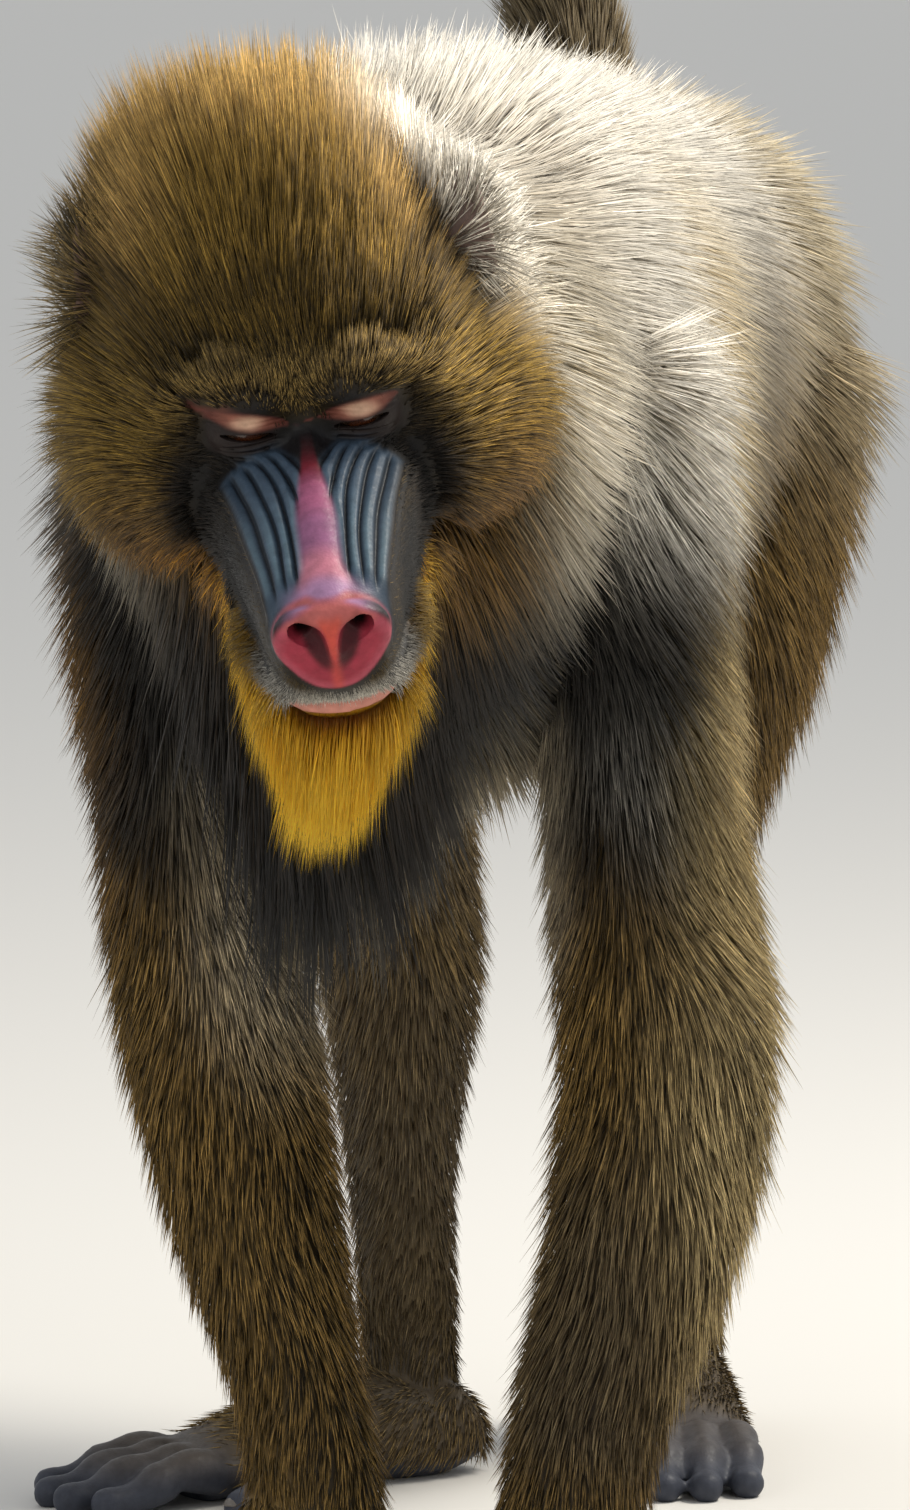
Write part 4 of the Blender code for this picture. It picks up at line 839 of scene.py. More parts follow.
def on_faces(obj, chosen, operation, **settings):
    """Runs one operation of edit mode on the chosen faces alone."""
    only(obj)
    mesh = obj.data
    for items in (mesh.polygons, mesh.edges, mesh.vertices):
        items.foreach_set("select", np.zeros(len(items), dtype=bool))
    mesh.polygons.foreach_set("select", chosen)
    bpy.ops.object.mode_set(mode="EDIT")
    bpy.ops.mesh.select_mode(type="FACE")
    operation(**settings)
    bpy.ops.object.mode_set(mode="OBJECT")


def face_centres(mesh):
    return vectors(mesh.polygons, "center")


def face_place(points):
    """Which spots are on the face."""
    head, work = in_head(points), in_work(points)
    front = head[:, 1] + 0.25 * head[:, 2]
    within = (np.abs(head[:, 0]) < 3.5) & (head[:, 2] > -6.3) & (head[:, 2] < 0.9)
    return (front > -1.2) & within & (work[:, 1] < -34)


def ridge_place(points):
    """Which spots are on the ridges and the bridge, or on the lids."""
    head = in_head(points)
    left = np.abs(head[:, 0])
    ridges = (head[:, 1] > 0.4) & (head[:, 1] < 9.7) & (left < 3.2) & (head[:, 2] > -2.0)
    lids = (head[:, 1] > -0.5) & (head[:, 1] < 0.9) & (head[:, 2] > -1.8)
    lids = lids & (np.abs(left - EYE_PLACE[0]) < 1.4)
    return face_place(points) & (ridges | lids)


def bare_limbs(points):
    """Which spots are on the ears, the hands or the feet."""
    head, work = in_head(points), in_work(points)
    ears = (np.abs(head[:, 0]) > 5.9) & (np.abs(head[:, 1] + 8.3) < 2.6) & (np.abs(head[:, 2] - 1.9) < 3.0)
    return ears | ((work[:, 2] < 7.0) & ((work[:, 1] < -27.5) | (work[:, 1] > 0.0)))


def level_trunk(skin, levels=4):
    """Softens the joins of the limbs and the neck with the trunk, which the flesh of a real animal fills."""
    work = in_work(coordinates(skin.data))
    share = step(30, 37, work[:, 2]) * step(-38, -33, work[:, 1]) * (1 - step(58, 60, work[:, 2]))
    group = skin.vertex_groups.new(name="trunk")
    for level in range(1, levels + 1):
        chosen = np.flatnonzero((share > (level - 1) / levels) & (share <= level / levels))
        group.add(chosen.tolist(), level / levels, "REPLACE")
    finish_with(skin, "SMOOTH", factor=0.6, iterations=14, vertex_group="trunk")
    skin.vertex_groups.clear()


def face_openings():
    """What is cut out of the skin: line of the mouth, eye sockets, slits between the lids and nostrils."""
    forms = [rod("mouth", both_ways(MOUTH_LINE), side=HEAD_UP, flat=MOUTH_FLATNESS)]
    socket = (EYE_RADIUS + SOCKET_ROOM) / CM
    tilt = Matrix.Rotation(EYE_SLIT_TILT, 3, "X")
    for _, mirror in SIDES:
        centre = Vector(mirrored(EYE_PLACE, mirror))
        forms.append(ball("socket", centre, (socket, socket, socket), segments=48, rings=28))
        slit_axes = HEAD_AXES @ tilt @ Matrix.Rotation(-EYE_SLIT_TURN * mirror, 3, "Y")
        slit_centre = centre + tilt @ Vector((0, EYE_SLIT_REACH, 0))
        forms.append(ball("slit", slit_centre, SLIT_SIZE, axes=slit_axes, segments=32, rings=16))
        forms.append(rod("nostril", NOSTRIL, mirror=mirror, side=HEAD_LEFT, sides=20, steps=5))
    return forms


def build_skin(share, voxel):
    """One closed skin over the whole animal, fine on the bare parts and plain under the long coat."""
    skin = joined(body_forms(share) + head_forms(share), "skin")
    finish_with(skin, "REMESH", mode="VOXEL", voxel_size=voxel)
    finish_with(skin, "SMOOTH", factor=0.5, iterations=3)
    keep_largest(skin)
    centres = face_centres(skin.data)
    under_coat = ~(face_place(centres) | bare_limbs(centres))
    on_faces(skin, under_coat, bpy.ops.mesh.decimate, ratio=UNDER_COAT_DETAIL)
    on_faces(skin, bare_limbs(face_centres(skin.data)), bpy.ops.mesh.decimate, ratio=LIMB_DETAIL)
    level_trunk(skin)
    for place in (face_place, ridge_place):
        on_faces(skin, place(face_centres(skin.data)), bpy.ops.mesh.subdivide, number_cuts=1, smoothness=1.0)
    shape_face(skin)
    boolean(skin, face_openings(), "DIFFERENCE")
    only(skin)
    bpy.ops.object.mode_set(mode="EDIT")
    bpy.ops.mesh.select_all(action="SELECT")
    bpy.ops.mesh.bisect(plane_co=(0, 0, FLOOR_CUT), plane_no=(0, 0, 1), use_fill=True, clear_inner=True)
    bpy.ops.mesh.select_all(action="SELECT")
    bpy.ops.mesh.quads_convert_to_tris()
    bpy.ops.object.mode_set(mode="OBJECT")
    keep_largest(skin)
    return skin


# Markings, shared by the skin and the coat

# Name, side (0 is both), centre, radii, softness of the edge, colour at the roots and at the tips
BODY_MARKINGS = [
    # The back, shoulders and sides of the neck are pale partly from their grizzled hair and partly from
    # painted sunlight
    ("back", 0, (0, -2, 63), (17, 34, 15), 0.45, "sunlit_silver", "sunlit_cream"),
    ("rump", 0, (0, 33, 53), (13, 10, 12), 0.5, "dove", "sand"),
    ("shoulder", 0, (10.5, -22, 51), (7, 11, 9), 0.45, "sunlit_silver", "sunlit_cream"),
    ("neck side", 0, (9, -31, 50), (5, 7, 8), 0.5, "sunlit_silver", "sunlit_cream"),
    ("chest", 0, (0, -25, 36), (9, 14, 9), 0.45, "pewter", "dove"),
    ("throat shadow", 0, (0, -33, 42), (10, 9, 8), 0.45, "soot", "umber"),
    ("pale chest", 1, (4.4, -20, 35), (2.8, 9, 5), 0.5, "pewter", "sand"),
    # The dark fronts of the shoulders are partly dark fur and partly painted shade under the head, running on
    # from the throat shadow
    ("shoulder front", 1, (6.8, -29.5, 41), (4.6, 6.5, 6.5), 0.5, "soot", "ash"),
    ("right shoulder front", -1, (-9.5, -28, 44), (5, 8, 9), 0.6, "soot", "ash"),
    ("chest tuft", -1, (-2.6, -29.5, 38), (4.4, 7.0, 5.5), 0.3, "soot", "soot"),
    ("belly", 0, (0, 2, 35), (9, 26, 8), 0.4, "pewter", "sand"),
    ("flank gold", 0, (12.5, -9.5, 46), (6, 6.5, 15), 0.7, "straw", "butter"),
    ("flank groove", 0, (11.5, 3.5, 43), (5.5, 5.5, 14), 0.7, "tan", "dove"),
    ("flank fringe", 0, (9.5, 11, 37), (4, 5, 6), 0.5, "dove", "sand"),
    ("hip", 0, (11, 24, 53), (9, 11, 9), 0.5, "dove", "sand"),
    ("thigh", 0, (7, 20, 36), (10, 14, 11), 0.8, "tan", "fawn"),
    ("shank", 0, (5.5, 20, 15), (7, 20, 15), 0.8, "tan", "dove"),
    ("upper arm", 0, (8.5, -22, 37), (7, 10, 9), 0.35, "soot", "ash"),
    ("forearm", 0, (7, -24, 19), (10, 12, 14), 0.3, "olive", "fawn"),
    # The pale gold tips on the outer side of the left arm are partly its golden fur and partly painted rim
    # light
    ("left arm outside", 1, (14.8, -20, 36), (3.4, 8, 13), 0.5, "straw", "butter"),
    ("left arm strands", 1, (10.8, -29, 35), (3.4, 4, 8), 0.6, "ash", "chalk"),
    # Here too the pale gold tips are partly painted rim light
    ("left forearm outside", 1, (14.8, -23, 21), (4.0, 8, 11), 0.5, "tan", "butter"),
    ("left forearm front", 1, (8.8, -30, 15), (4, 6, 11), 0.5, "tan", "dove"),
    ("right arm outside", -1, (-12.8, -21, 38), (3, 8, 12), 0.5, "olive", "honey"),
    ("inner arm", 0, (4.6, -22, 33.5), (2.8, 7, 8), 0.5, "pewter", "sand"),
    ("tail", 0, (-1, 35, 62), (6, 6, 8), 0.4, "tan", "dove"),
    ("wrist", 0, (5, -28, 5), (10, 9, 5), 0.4, "olive", "fawn"),
]
HEAD_MARKINGS = [
    ("throat", 0, (0, -3, -9), (7, 9, 4), 0.4, "soot", "umber"),
    ("ruff", 0, (9.4, -8.4, -2.0), (4.2, 6, 9), 0.6, "dove", "sand"),
    # The ruff on the left is paler partly from its pale tips and partly from painted sunlight
    ("sunlit pale ruff", 1, (9.6, -6.6, -1.6), (3.0, 5.5, 8.0), 0.6, "sand", "sunlit_cream"),
    ("cheek", 0, (5.4, -3.8, -2.2), (4.0, 3.8, 6.2), 0.5, "umber", "gold"),
    ("lower cheek", 0, (4.8, -2.6, -6.4), (4.0, 4.4, 3.2), 0.5, "umber", "honey"),
    ("amber cheek", -1, (-4.4, -0.6, -7.0), (1.8, 2.6, 2.2), 0.6, "umber", "amber"),
    ("crest", 0, (0, -7, 5), (8.2, 6.5, 6), 0.35, "olive", "bronze"),
    ("crest back", 0, (0, -9.6, 5), (6.5, 4.0, 6), 0.5, "olive", "fawn"),
    ("crest front", 0, (0, -3.4, 4.2), (6.5, 2.2, 4.5), 0.5, "olive", "bronze"),
    ("pale nape", 1, (6.6, -10.0, 2.6), (3.4, 4.4, 5.2), 0.6, "sunlit_silver", "sunlit_cream"),
    ("crest corner", 0, (4.3, -4.2, 3.2), (1.5, 2.4, 2.2), 0.6, "soot", "fawn"),
    ("forehead", 0, (0, -2.4, 2.2), (5.4, 2.2, 2.4), 0.4, "olive", "bronze"),
    ("eye rim", 0, (2.0, 0.3, -0.5), (2.6, 1.8, 1.8), 0.4, "soot", "bark"),
    ("brow", 0, (0, -0.5, 0.9), (4.0, 1.0, 0.9), 0.5, "soot", "drab"),
    ("muzzle", 0, (0, 3.2, -3.8), (4.6, 9.2, 3.6), 0.25, "soot", "soot"),
    ("jowl", 0, (3.8, 0.2, -3.0), (0.9, 2.4, 2.6), 0.5, "soot", "bark"),
    ("beard", 0, (0, 4.2, -9.2), (4.8, 8.2, 4.4), 0.22, "amber", "saffron"),
    ("lip hair", 0, (0, 9.4, -4.6), (2.6, 2.6, 0.9), 0.5, "ash", "chalk"),
]


def markings(points):
    """Colours of the coat at its roots and at its tips for packed-frame spots."""
    coat = bpy.context.scene.mandrill_coat
    work, head = in_work(points), in_head(points)
    roots = np.tile(np.array(coat.under), (len(points), 1))
    tips = np.tile(np.array(coat.drab), (len(points), 1))
    grain = 0.10 * np.sin(work[:, 0] * 1.1 + 0.7 * work[:, 2])
    grain = grain + 0.10 * np.sin(work[:, 1] * 0.9 - 0.8 * work[:, 2])
    for spots, table in ((work, BODY_MARKINGS), (head, HEAD_MARKINGS)):
        for _, side, centre, radii, soft, root, tip in table:
            away = ball_distance(folded(spots) if side == 0 else spots, centre, radii) + grain * soft
            weight = 1 - step(1 - soft, 1 + soft, away)
            roots = lay(roots, getattr(coat, root), weight)
            tips = lay(tips, getattr(coat, tip), weight)
    return roots, tips


def nose_disc(head):
    """Distance from the middle of the nose's disc, 1 at its edge; it is broad above and narrow below."""
    up = head[:, 2]
    return np.hypot(head[:, 0] / (2.12 - 0.5 * (1 - step(-3.6, -1.9, up))), (up + 2.15) / 1.75)


def ear_place(head):
    """How far each head-frame spot is inside the ears, from 0 outside to 1."""
    return 1 - step(0.9, 1.05, ball_distance(folded(head), *EAR_SKIN))


def bare_places(points, normals):
    """How bare each packed-frame spot is, from 0 under the coat to 1."""
    head, work = in_head(points), in_work(points)
    upward = normals @ np.array(HEAD_UP)
    share, down = ridge_field(head)
    top = step(-0.06, 0.0, down) * (1 - step(1.04, 1.2, share)) * step(-3.0, -2.4, head[:, 2])
    nose = step(9.2, 9.7, head[:, 1]) * (1 - step(1.02, 1.1, nose_disc(head)))
    lips = step(8.0, 8.8, head[:, 1]) * step(-6.25, -6.0, head[:, 2]) * (1 - step(-5.0, -4.85, head[:, 2]))
    lid, above = lid_field(head)
    lid = lid * step(-1.3, -1.0, above) * (1 - step(0.9, 1.3, above))
    lid = np.maximum(lid, step(0.0, 0.3, lid_patch(head)) * (head[:, 1] < 2))
    near_head = (work[:, 1] < -34) & (np.abs(head[:, 0]) < 6)
    bridge = (1 - step(0.9, 1.3, np.abs(head[:, 0]))) * step(0.2, 1.4, head[:, 1]) * step(0.2, 0.6, upward)
    bare = np.where(near_head, np.maximum.reduce([top, nose, lips, lid, bridge]), 0.0)
    bare = np.maximum(bare, ear_place(head) * 0.55)
    palms = (work[:, 1] < -27) & (work[:, 2] < 6.5)
    hands = palms * np.maximum(1 - step(-32.5, -30.5, work[:, 1]), 1 - step(-0.5, -0.1, normals[:, 2]))
    bare = np.maximum(bare, hands)
    for side, _ in SIDES:
        (heel_x, heel_y), turn = FOOT[side]
        angle = math.radians(turn)
        ahead_of = (work[:, 0] - heel_x) * math.sin(angle) - (work[:, 1] - heel_y) * math.cos(angle)
        beside = (work[:, 0] - heel_x) * math.cos(angle) + (work[:, 1] - heel_y) * math.sin(angle)
        near = (np.abs(beside) < 6.5) & (ahead_of > -4) & (ahead_of < 22) & (work[:, 2] < 5.5)
        toes = np.maximum(step(8.0, 11.0, ahead_of), 1 - step(-0.7, -0.2, normals[:, 2]))
        bare = np.maximum(bare, near * toes)
    seat = ball_distance(work, SEAT, SEAT_SIZE)
    bare = np.maximum(bare, (1 - step(0.8, 1.1, seat)) * step(0.0, 0.3, normals[:, 1]))
    return np.clip(bare, 0, 1)


def lay(base, colour, weight):
    """Covers a colour with another by a weight at each spot."""
    weight = np.clip(weight, 0, 1)[:, None]
    return base * (1 - weight) + np.array(colour) * weight


def ridge_colours(face, skin, head):
    """Blue ridges with a painted highlight on their crowns, and painted shade down the grooves between them.
    """
    share, down = ridge_field(head)
    rise, groove = ridge_wave(head)
    blue = step(-0.05, 0.04, down) * (1 - step(1.0, 1.16, share)) * step(-0.3, 0.0, share)
    blue = blue * (1 - step(1.0, 1.12, down)) * step(-3.0, -2.4, head[:, 2])
    face = lay(face, skin.slate, blue * (1 - 0.35 * step(0.7, 1.1, share)))
    # Painted highlight on the crowns of the ridges
    face = lay(face, skin.crown_highlight, blue * rise ** 3 * 0.42 * step(0.25, 0.75, down))
    # Painted shade down in the grooves
    return lay(face, skin.groove, groove * 0.94)


def bridge_colours(face, skin, head, upward):
    """The strip down the bridge, from dark red at its root over mauve to the lilac over the nose."""
    left, forward, up = np.abs(head[:, 0]), head[:, 1], head[:, 2]
    half = bridge_half(forward)
    strip = (1 - step(half * 0.66, half * 1.24, left)) * step(0.3, 0.7, upward + 0.6 * (forward > 9))
    strip = strip * step(0.2, 1.6, forward) * (up > -2.2)
    bridge = np.tile(np.array(linear(BRIDGE_ROOT)), (len(head), 1))
    for colour, start, end, weight in (
            (skin.oxblood, 1.2, 2.8, 1.0), (skin.mauve, 2.6, 4.6, 1.0), (linear(BRIDGE_VIOLET), 5.0, 6.6, 0.8),
            (linear(BRIDGE_PINK), 7.4, 8.8, 0.9), (skin.lilac, 9.2, 10.0, 1.0)):
        bridge = lay(bridge, colour, step(start, end, forward) * weight)
    face = lay(face, bridge, strip)
    band = step(9.0, 10.2, forward) * (1 - step(0.9, 2.1, left)) * step(-1.6, -0.5, up)
    return lay(face, skin.lilac, band * 0.7)


def nose_colours(face, skin, head, ahead):
    """The red disc with its paler rim, the septum, and painted shade round and inside the nostrils."""
    left, forward, up = np.abs(head[:, 0]), head[:, 1], head[:, 2]
    disc = nose_disc(head)
    nose = (1 - step(0.98, 1.08, disc)) * step(9.7, 10.2, forward) * step(-0.3, 0.15, ahead)
    face = lay(face, skin.crimson, nose)
    face = lay(face, linear(NOSE_EDGE), nose * step(0.75, 1.0, disc) * 0.5)
    face = lay(face, skin.peach, nose * step(-1.35, -0.8, up) * 0.7)
    septum = (1 - step(0.04, 0.34, left - 0.2 * step(-1.6, -0.9, up))) * (1 - step(-0.95, -0.5, up))
    face = lay(face, skin.vermilion, nose * septum * (0.5 + 0.3 * step(-2.6, -1.6, up)))
    # Painted shade on the disc round each nostril's opening
    hollow = np.hypot((left - 0.72 - 0.3 * (up + 1.5)) / 0.42, (up + 1.85) / 1.15)
    face = lay(face, linear(NOSTRIL_SHADE), nose * (1 - step(0.6, 1.25, hollow)) * 0.85)
    # Painted shade inside the nostrils
    inside = (1 - step(1.2, 1.7, hollow)) * (forward > 9) * (1 - step(10.3, 10.9, forward))
    return lay(face, linear(NOSTRIL_INSIDE_SHADE), inside * (1 - step(-1.05, -0.95, up)))


def lip_colours(face, skin, head):
    """The pink lower lip and the grey upper one under its whitish hair."""
    left, forward, up = np.abs(head[:, 0]), head[:, 1], head[:, 2]
    lower = step(7.8, 9.0, forward) * (1 - step(-5.0, -4.8, up)) * step(-6.3, -5.9, up)
    face = lay(face, skin.lip, lower * (1 - step(1.9, 2.6, left)))
    upper = step(7.0, 9.2, forward) * step(-4.95, -4.75, up) * (1 - step(-4.2, -3.95, up))
    return lay(face, linear(UPPER_LIP_GREY), upper * 0.8)


def lid_colours(face, skin, head):
    """Dark lids, with a pale crescent on the upper one and a painted highlight over the middle of the eye."""
    left = np.abs(head[:, 0])
    lid, above = lid_field(head)
    face = lay(face, linear(LID_DARK), lid)
    glow = lid_patch(head) * step(-0.02, 0.14, above) * (head[:, 1] < 2)
    face = lay(face, linear(LID_RUST), glow)
    face = lay(face, skin.lid, glow ** 2 * (1 - step(0.4, 1.35, np.abs(left - EYE_PLACE[0]))) * 0.9)
    # Painted highlight on the middle of the pale crescent
    highlight_spot = 1 - step(0.15, 0.95, np.hypot(left - 2.15 + 0.5 * (above - 0.5), 1.3 * (above - 0.5)))
    return lay(face, linear(LID_HIGHLIGHT), glow ** 2 * highlight_spot * 0.8)


def seat_colours(colours, skin, work):
    """Violet-blue skin under the tail, rose down its middle and on the pads."""
    seat = ball_distance(work, SEAT, SEAT_SIZE)
    colours = lay(colours, skin.seat, 1 - step(0.85, 1.15, seat))
    middle = np.abs(work[:, 0]) + 0.25 * np.sin(work[:, 2] * 2.1)
    colours = lay(colours, skin.rose, (1 - step(0.8, 2.6, middle)) * (1 - step(0.8, 1.0, seat)))
    for centre in SEAT_PADS.values():
        pad = ball_distance(work, centre, (2.0, 2.4, 2.4))
        colours = lay(colours, skin.rose, (1 - step(0.7, 1.1, pad)) * 0.6)
    return colours


def skin_colours(points, normals):
    """The undercoat's colours under the hair, and those of face, ears, hands, feet and seat where bare."""
    skin = bpy.context.scene.mandrill_skin
    head, work = in_head(points), in_work(points)
    roots, tips = markings(points)
    left, forward = np.abs(head[:, 0]), head[:, 1]
    shown = 0.38 - 0.33 * (step(-5.0, -2.5, forward) * (1 - step(5.5, 7.0, left)))[:, None]
    colours = roots * 0.5 + tips * shown
    bare = bare_places(points, normals)
    face = np.tile(np.array(skin.charcoal), (len(points), 1))
    face = ridge_colours(face, skin, head)
    face = bridge_colours(face, skin, head, normals @ np.array(HEAD_UP))
    face = nose_colours(face, skin, head, normals @ np.array(HEAD_FORWARD))
    face = lip_colours(face, skin, head)
    face = lid_colours(face, skin, head)
    on_face = (work[:, 1] < -34) & (forward > -2.6) & (left < 5.2)
    colours = lay(colours, face, on_face * bare)
    colours = lay(colours, skin.ear, ear_place(head) * 0.9)
    paws = (work[:, 2] < 6.0) & ((work[:, 1] < -27) | (work[:, 1] > 0))
    shade = 1 - 0.35 * step(1.0, 3.0, work[:, 2])
    colours = lay(colours, skin.palm, paws * np.maximum(bare, 0.5) * shade)
    return np.clip(seat_colours(colours, skin, work), 0, 1)


# Combing the coat


def in_face(points):
    """Which spots lie on the muzzle, the jaw or round the eyes."""
    head = in_head(points)
    return (head[:, 1] > -1.6) & (np.abs(head[:, 0]) < 4.6) & (head[:, 2] < 1.8) & (head[:, 2] > -9.5)


# How far a guide is felt on the face and elsewhere, in centimetres, and how many spots are read at a time
BLEND_REACH = (0.75, 1.8)
READ_BATCH = 4000


class Comb:
    """Guide hairs set on the animal, which say how the coat lies, how long and how thick it is there."""

    def __init__(self):
        self.rows = []

    def add(self, spot, facing, flow, piece, length, slope, width, density, clump, free=0.0):
        """Length in cm, slope as rise over run, width in mm, density in wisps to the square cm."""
        self.rows.append((*spot, *facing, *flow, length, slope, width, density, free, clump,
                          PIECES.index(piece)))

    def settle(self):
        """Sorts the guides' numbers into spots, facings, values and pieces."""
        data = np.array(self.rows, dtype=np.float32)
        self.spots, self.facings, self.values = data[:, 0:3], data[:, 3:6], data[:, 6:15]
        self.pieces = data[:, 15].astype(int)
        return self

    def read(self, points, normals):
        """The guides' values blended at each spot, and the piece that it belongs to."""
        points = points.astype(np.float32)
        normals = normals.astype(np.float32)
        values = np.empty((len(points), self.values.shape[1]), np.float32)
        owners = np.empty(len(points), int)
        own = (self.spots ** 2).sum(1)
        for first in range(0, len(points), READ_BATCH):
            part = slice(first, first + READ_BATCH)
            p = points[part]
            gap = (p ** 2).sum(1)[:, None] + own[None] - 2 * p @ self.spots.T
            gap -= gap.min(1)[:, None]
            near = np.where(in_face(p), *BLEND_REACH)[:, None] * CM
            weight = np.exp(-gap / (2 * near * near)) * np.clip(normals[part] @ self.facings.T, 0.03, 1.0)
            weight /= weight.sum(1)[:, None]
            values[part] = weight @ self.values
            owners[part] = self.pieces[weight.argmax(1)]
        return values, owners


PIECES = ["crest", "forehead", "cheek_left", "cheek_right", "beard", "lip_hair", "mantle", "back",
          "flank_left", "flank_right", "belly", "chest_tuft", "tail_tuft", "arm_left", "arm_right", "leg_left",
          "leg_right", "hand_hair", "foot_hair"]
# The group of each kind of piece, by the first word of its name, where it isn't the body's coat; the group
# picks the piece's hair finish, and the head's unwrap
SLOTS = {"crest": "head_coat", "forehead": "head_coat", "cheek": "head_coat", "beard": "head_coat",
         "lip": "head_coat", "mantle": "mantle_coat", "chest": "mantle_coat", "tail": "tail_coat",
         "arm": "arm_coat", "hand": "arm_coat", "leg": "leg_coat", "foot": "leg_coat"}
# Banded hairs look speckled dark and gold; the number says how near its tip a wisp turns to the tip's colour
BANDED = {"crest": 3.5, "forehead": 3.5, "cheek": 3.5, "arm": 2.2, "leg": 2.2, "hand": 2.2, "foot": 2.2}
PLAIN = 1.2
# Rows of the crest: forward, angles from the middle of the head, and length
CREST_ANGLES = (-86, -70, -54, -38, -20, 0, 18, 34, 48, 66, 84)
CREST_ROWS = ((-1.9, (-40, -20, 0, 20, 40), 1.8), (-3.0, (-48, -24, 0, 22, 44), 3.8),
              (-4.8, CREST_ANGLES, 6.4), (-6.8, CREST_ANGLES, 7.0), (-8.8, CREST_ANGLES, 6.6),
              (-10.4, (-50, -20, 20, 50), 5.4))
# The crest ends at these angles from the middle of the head, and the hair below it lies close
CREST_EDGES = (-74, 56)
# Guides on the head, left side: place, direction, length, slope, width, density and how freely the hair stands
HEAD_GUIDES = {
    "forehead": [
        ((0.0, -0.4, 1.2), (0.0, -0.6, 1.0), 0.9, 0.5, 0.68, 138, 0.0),
        ((1.6, -0.2, 1.5), (0.1, -0.7, 1.0), 0.9, 0.5, 0.68, 138, 0.0),
        ((3.2, -0.7, 1.1), (0.5, -0.8, 0.8), 1.0, 0.5, 0.68, 138, 0.0),
        ((4.4, -1.8, 0.4), (0.8, -0.9, 0.3), 1.3, 0.5, 0.68, 103, 0.0),
        ((0.0, -1.4, 2.2), (0.0, -1.0, 0.6), 1.4, 0.5, 0.75, 115, 0.2),
        ((2.4, -1.6, 2.2), (0.2, -1.0, 0.6), 1.4, 0.5, 0.75, 115, 0.2),
        ((4.6, -2.6, 1.6), (0.7, -0.9, 0.4), 2.0, 0.5, 0.83, 92, 0.2),
        ((0.0, 0.0, 0.3), (0.0, -0.5, 0.8), 0.5, 0.4, 0.52, 103, 0.0),
        ((3.9, 0.2, -1.6), (0.8, -1.0, -0.3), 0.8, 0.35, 0.6, 103, 0.0),
        ((3.9, 2.0, -3.2), (0.3, -1.0, -0.3), 0.6, 0.3, 0.6, 103, 0.0),
        ((3.5, 4.4, -3.4), (0.2, -1.0, -0.3), 0.5, 0.3, 0.52, 103, 0.0),
        ((3.1, 7.0, -3.2), (0.2, -1.0, -0.3), 0.45, 0.3, 0.52, 103, 0.0),
        ((2.7, 9.0, -3.2), (0.2, -1.0, -0.4), 0.4, 0.3, 0.52, 103, 0.0),
        ((4.3, -1.0, -3.6), (0.7, -0.9, -0.2), 1.5, 0.4, 0.75, 92, 0.0),
        ((3.6, 0.4, -5.4), (0.4, -0.9, -0.5), 1.2, 0.4, 0.68, 92, 0.0),
    ],
    "cheek_left": [
        ((5.0, -2.6, -1.0), (0.8, -0.5, -0.2), 2.2, 0.5, 0.74, 125, 0.2),
        ((5.4, -3.6, -3.6), (0.78, -0.2, -0.5), 2.8, 0.5, 0.74, 120, 0.25),
        ((5.0, -3.0, -6.0), (0.5, 0.2, -0.8), 3.0, 0.5, 0.81, 114, 0.3),
        ((7.2, -5.4, 0.4), (0.7, -0.6, -0.2), 2.8, 0.45, 0.87, 95, 0.15),
        ((8.0, -6.0, -2.4), (0.84, -0.2, -0.45), 3.9, 0.5, 0.93, 83, 0.3),
        ((8.2, -6.4, -5.4), (0.62, 0.1, -0.73), 5.2, 0.5, 0.93, 83, 0.45),
        ((6.0, -5.4, -8.0), (0.25, 0.36, -0.88), 4.2, 0.5, 0.93, 78, 0.5),
        ((8.4, -9.0, -1.6), (0.83, -0.4, -0.4), 4.6, 0.5, 1.05, 68, 0.3),
        ((8.4, -9.4, -5.0), (0.62, -0.1, -0.76), 5.8, 0.5, 1.05, 68, 0.4),
        ((6.2, -9.0, -8.4), (0.28, 0.22, -0.92), 4.8, 0.5, 1.05, 62, 0.4),
        ((5.2, -4.4, 1.4), (0.45, -0.9, 0.1), 2.2, 0.4, 0.83, 110, 0.0),
        ((6.2, -6.2, 2.4), (0.3, -0.95, 0.0), 2.6, 0.35, 0.83, 110, 0.0),
        ((6.0, -7.4, 1.4), (0.5, -0.9, -0.1), 3.4, 0.45, 0.87, 104, 0.1),
        ((6.6, -10.0, 1.6), (0.5, -0.9, -0.1), 4.0, 0.5, 0.99, 78, 0.3),
        ((7.9, -8.4, 1.9), (0.2, -1.0, 0.1), 0.5, 0.2, 0.7, 70, 0.0),
        ((7.0, -7.0, 1.9), (0.6, -0.8, 0.1), 0.7, 0.2, 0.7, 90, 0.0),
        ((7.0, -8.3, 4.2), (0.2, -1.0, 0.3), 0.7, 0.2, 0.7, 90, 0.0),
        ((7.0, -8.3, -0.4), (0.2, -1.0, -0.1), 0.7, 0.2, 0.7, 90, 0.0),
        ((7.0, -9.6, 1.9), (0.2, -1.0, 0.1), 0.7, 0.2, 0.7, 90, 0.0),
        ((2.6, -2.0, -9.0), (0.0, 0.36, -0.96), 3.8, 0.5, 0.87, 78, 0.4),
        ((2.6, -6.0, -11.0), (0.0, 0.3, -1.0), 4.6, 0.5, 0.99, 62, 0.4),
    ],
    "lip_hair": [
        ((0.6, 10.6, -4.4), (0.2, 0.3, -0.7), 0.4, 0.6, 0.48, 225, 0.3),
        ((2.2, 8.9, -4.8), (0.6, 0.1, -0.7), 0.7, 0.5, 0.48, 195, 0.3),
        ((2.8, 6.8, -5.1), (0.6, -0.3, -0.7), 0.8, 0.5, 0.56, 165, 0.3),
        ((3.1, 4.4, -5.3), (0.5, -0.6, -0.6), 0.9, 0.5, 0.56, 135, 0.3),
    ],
}

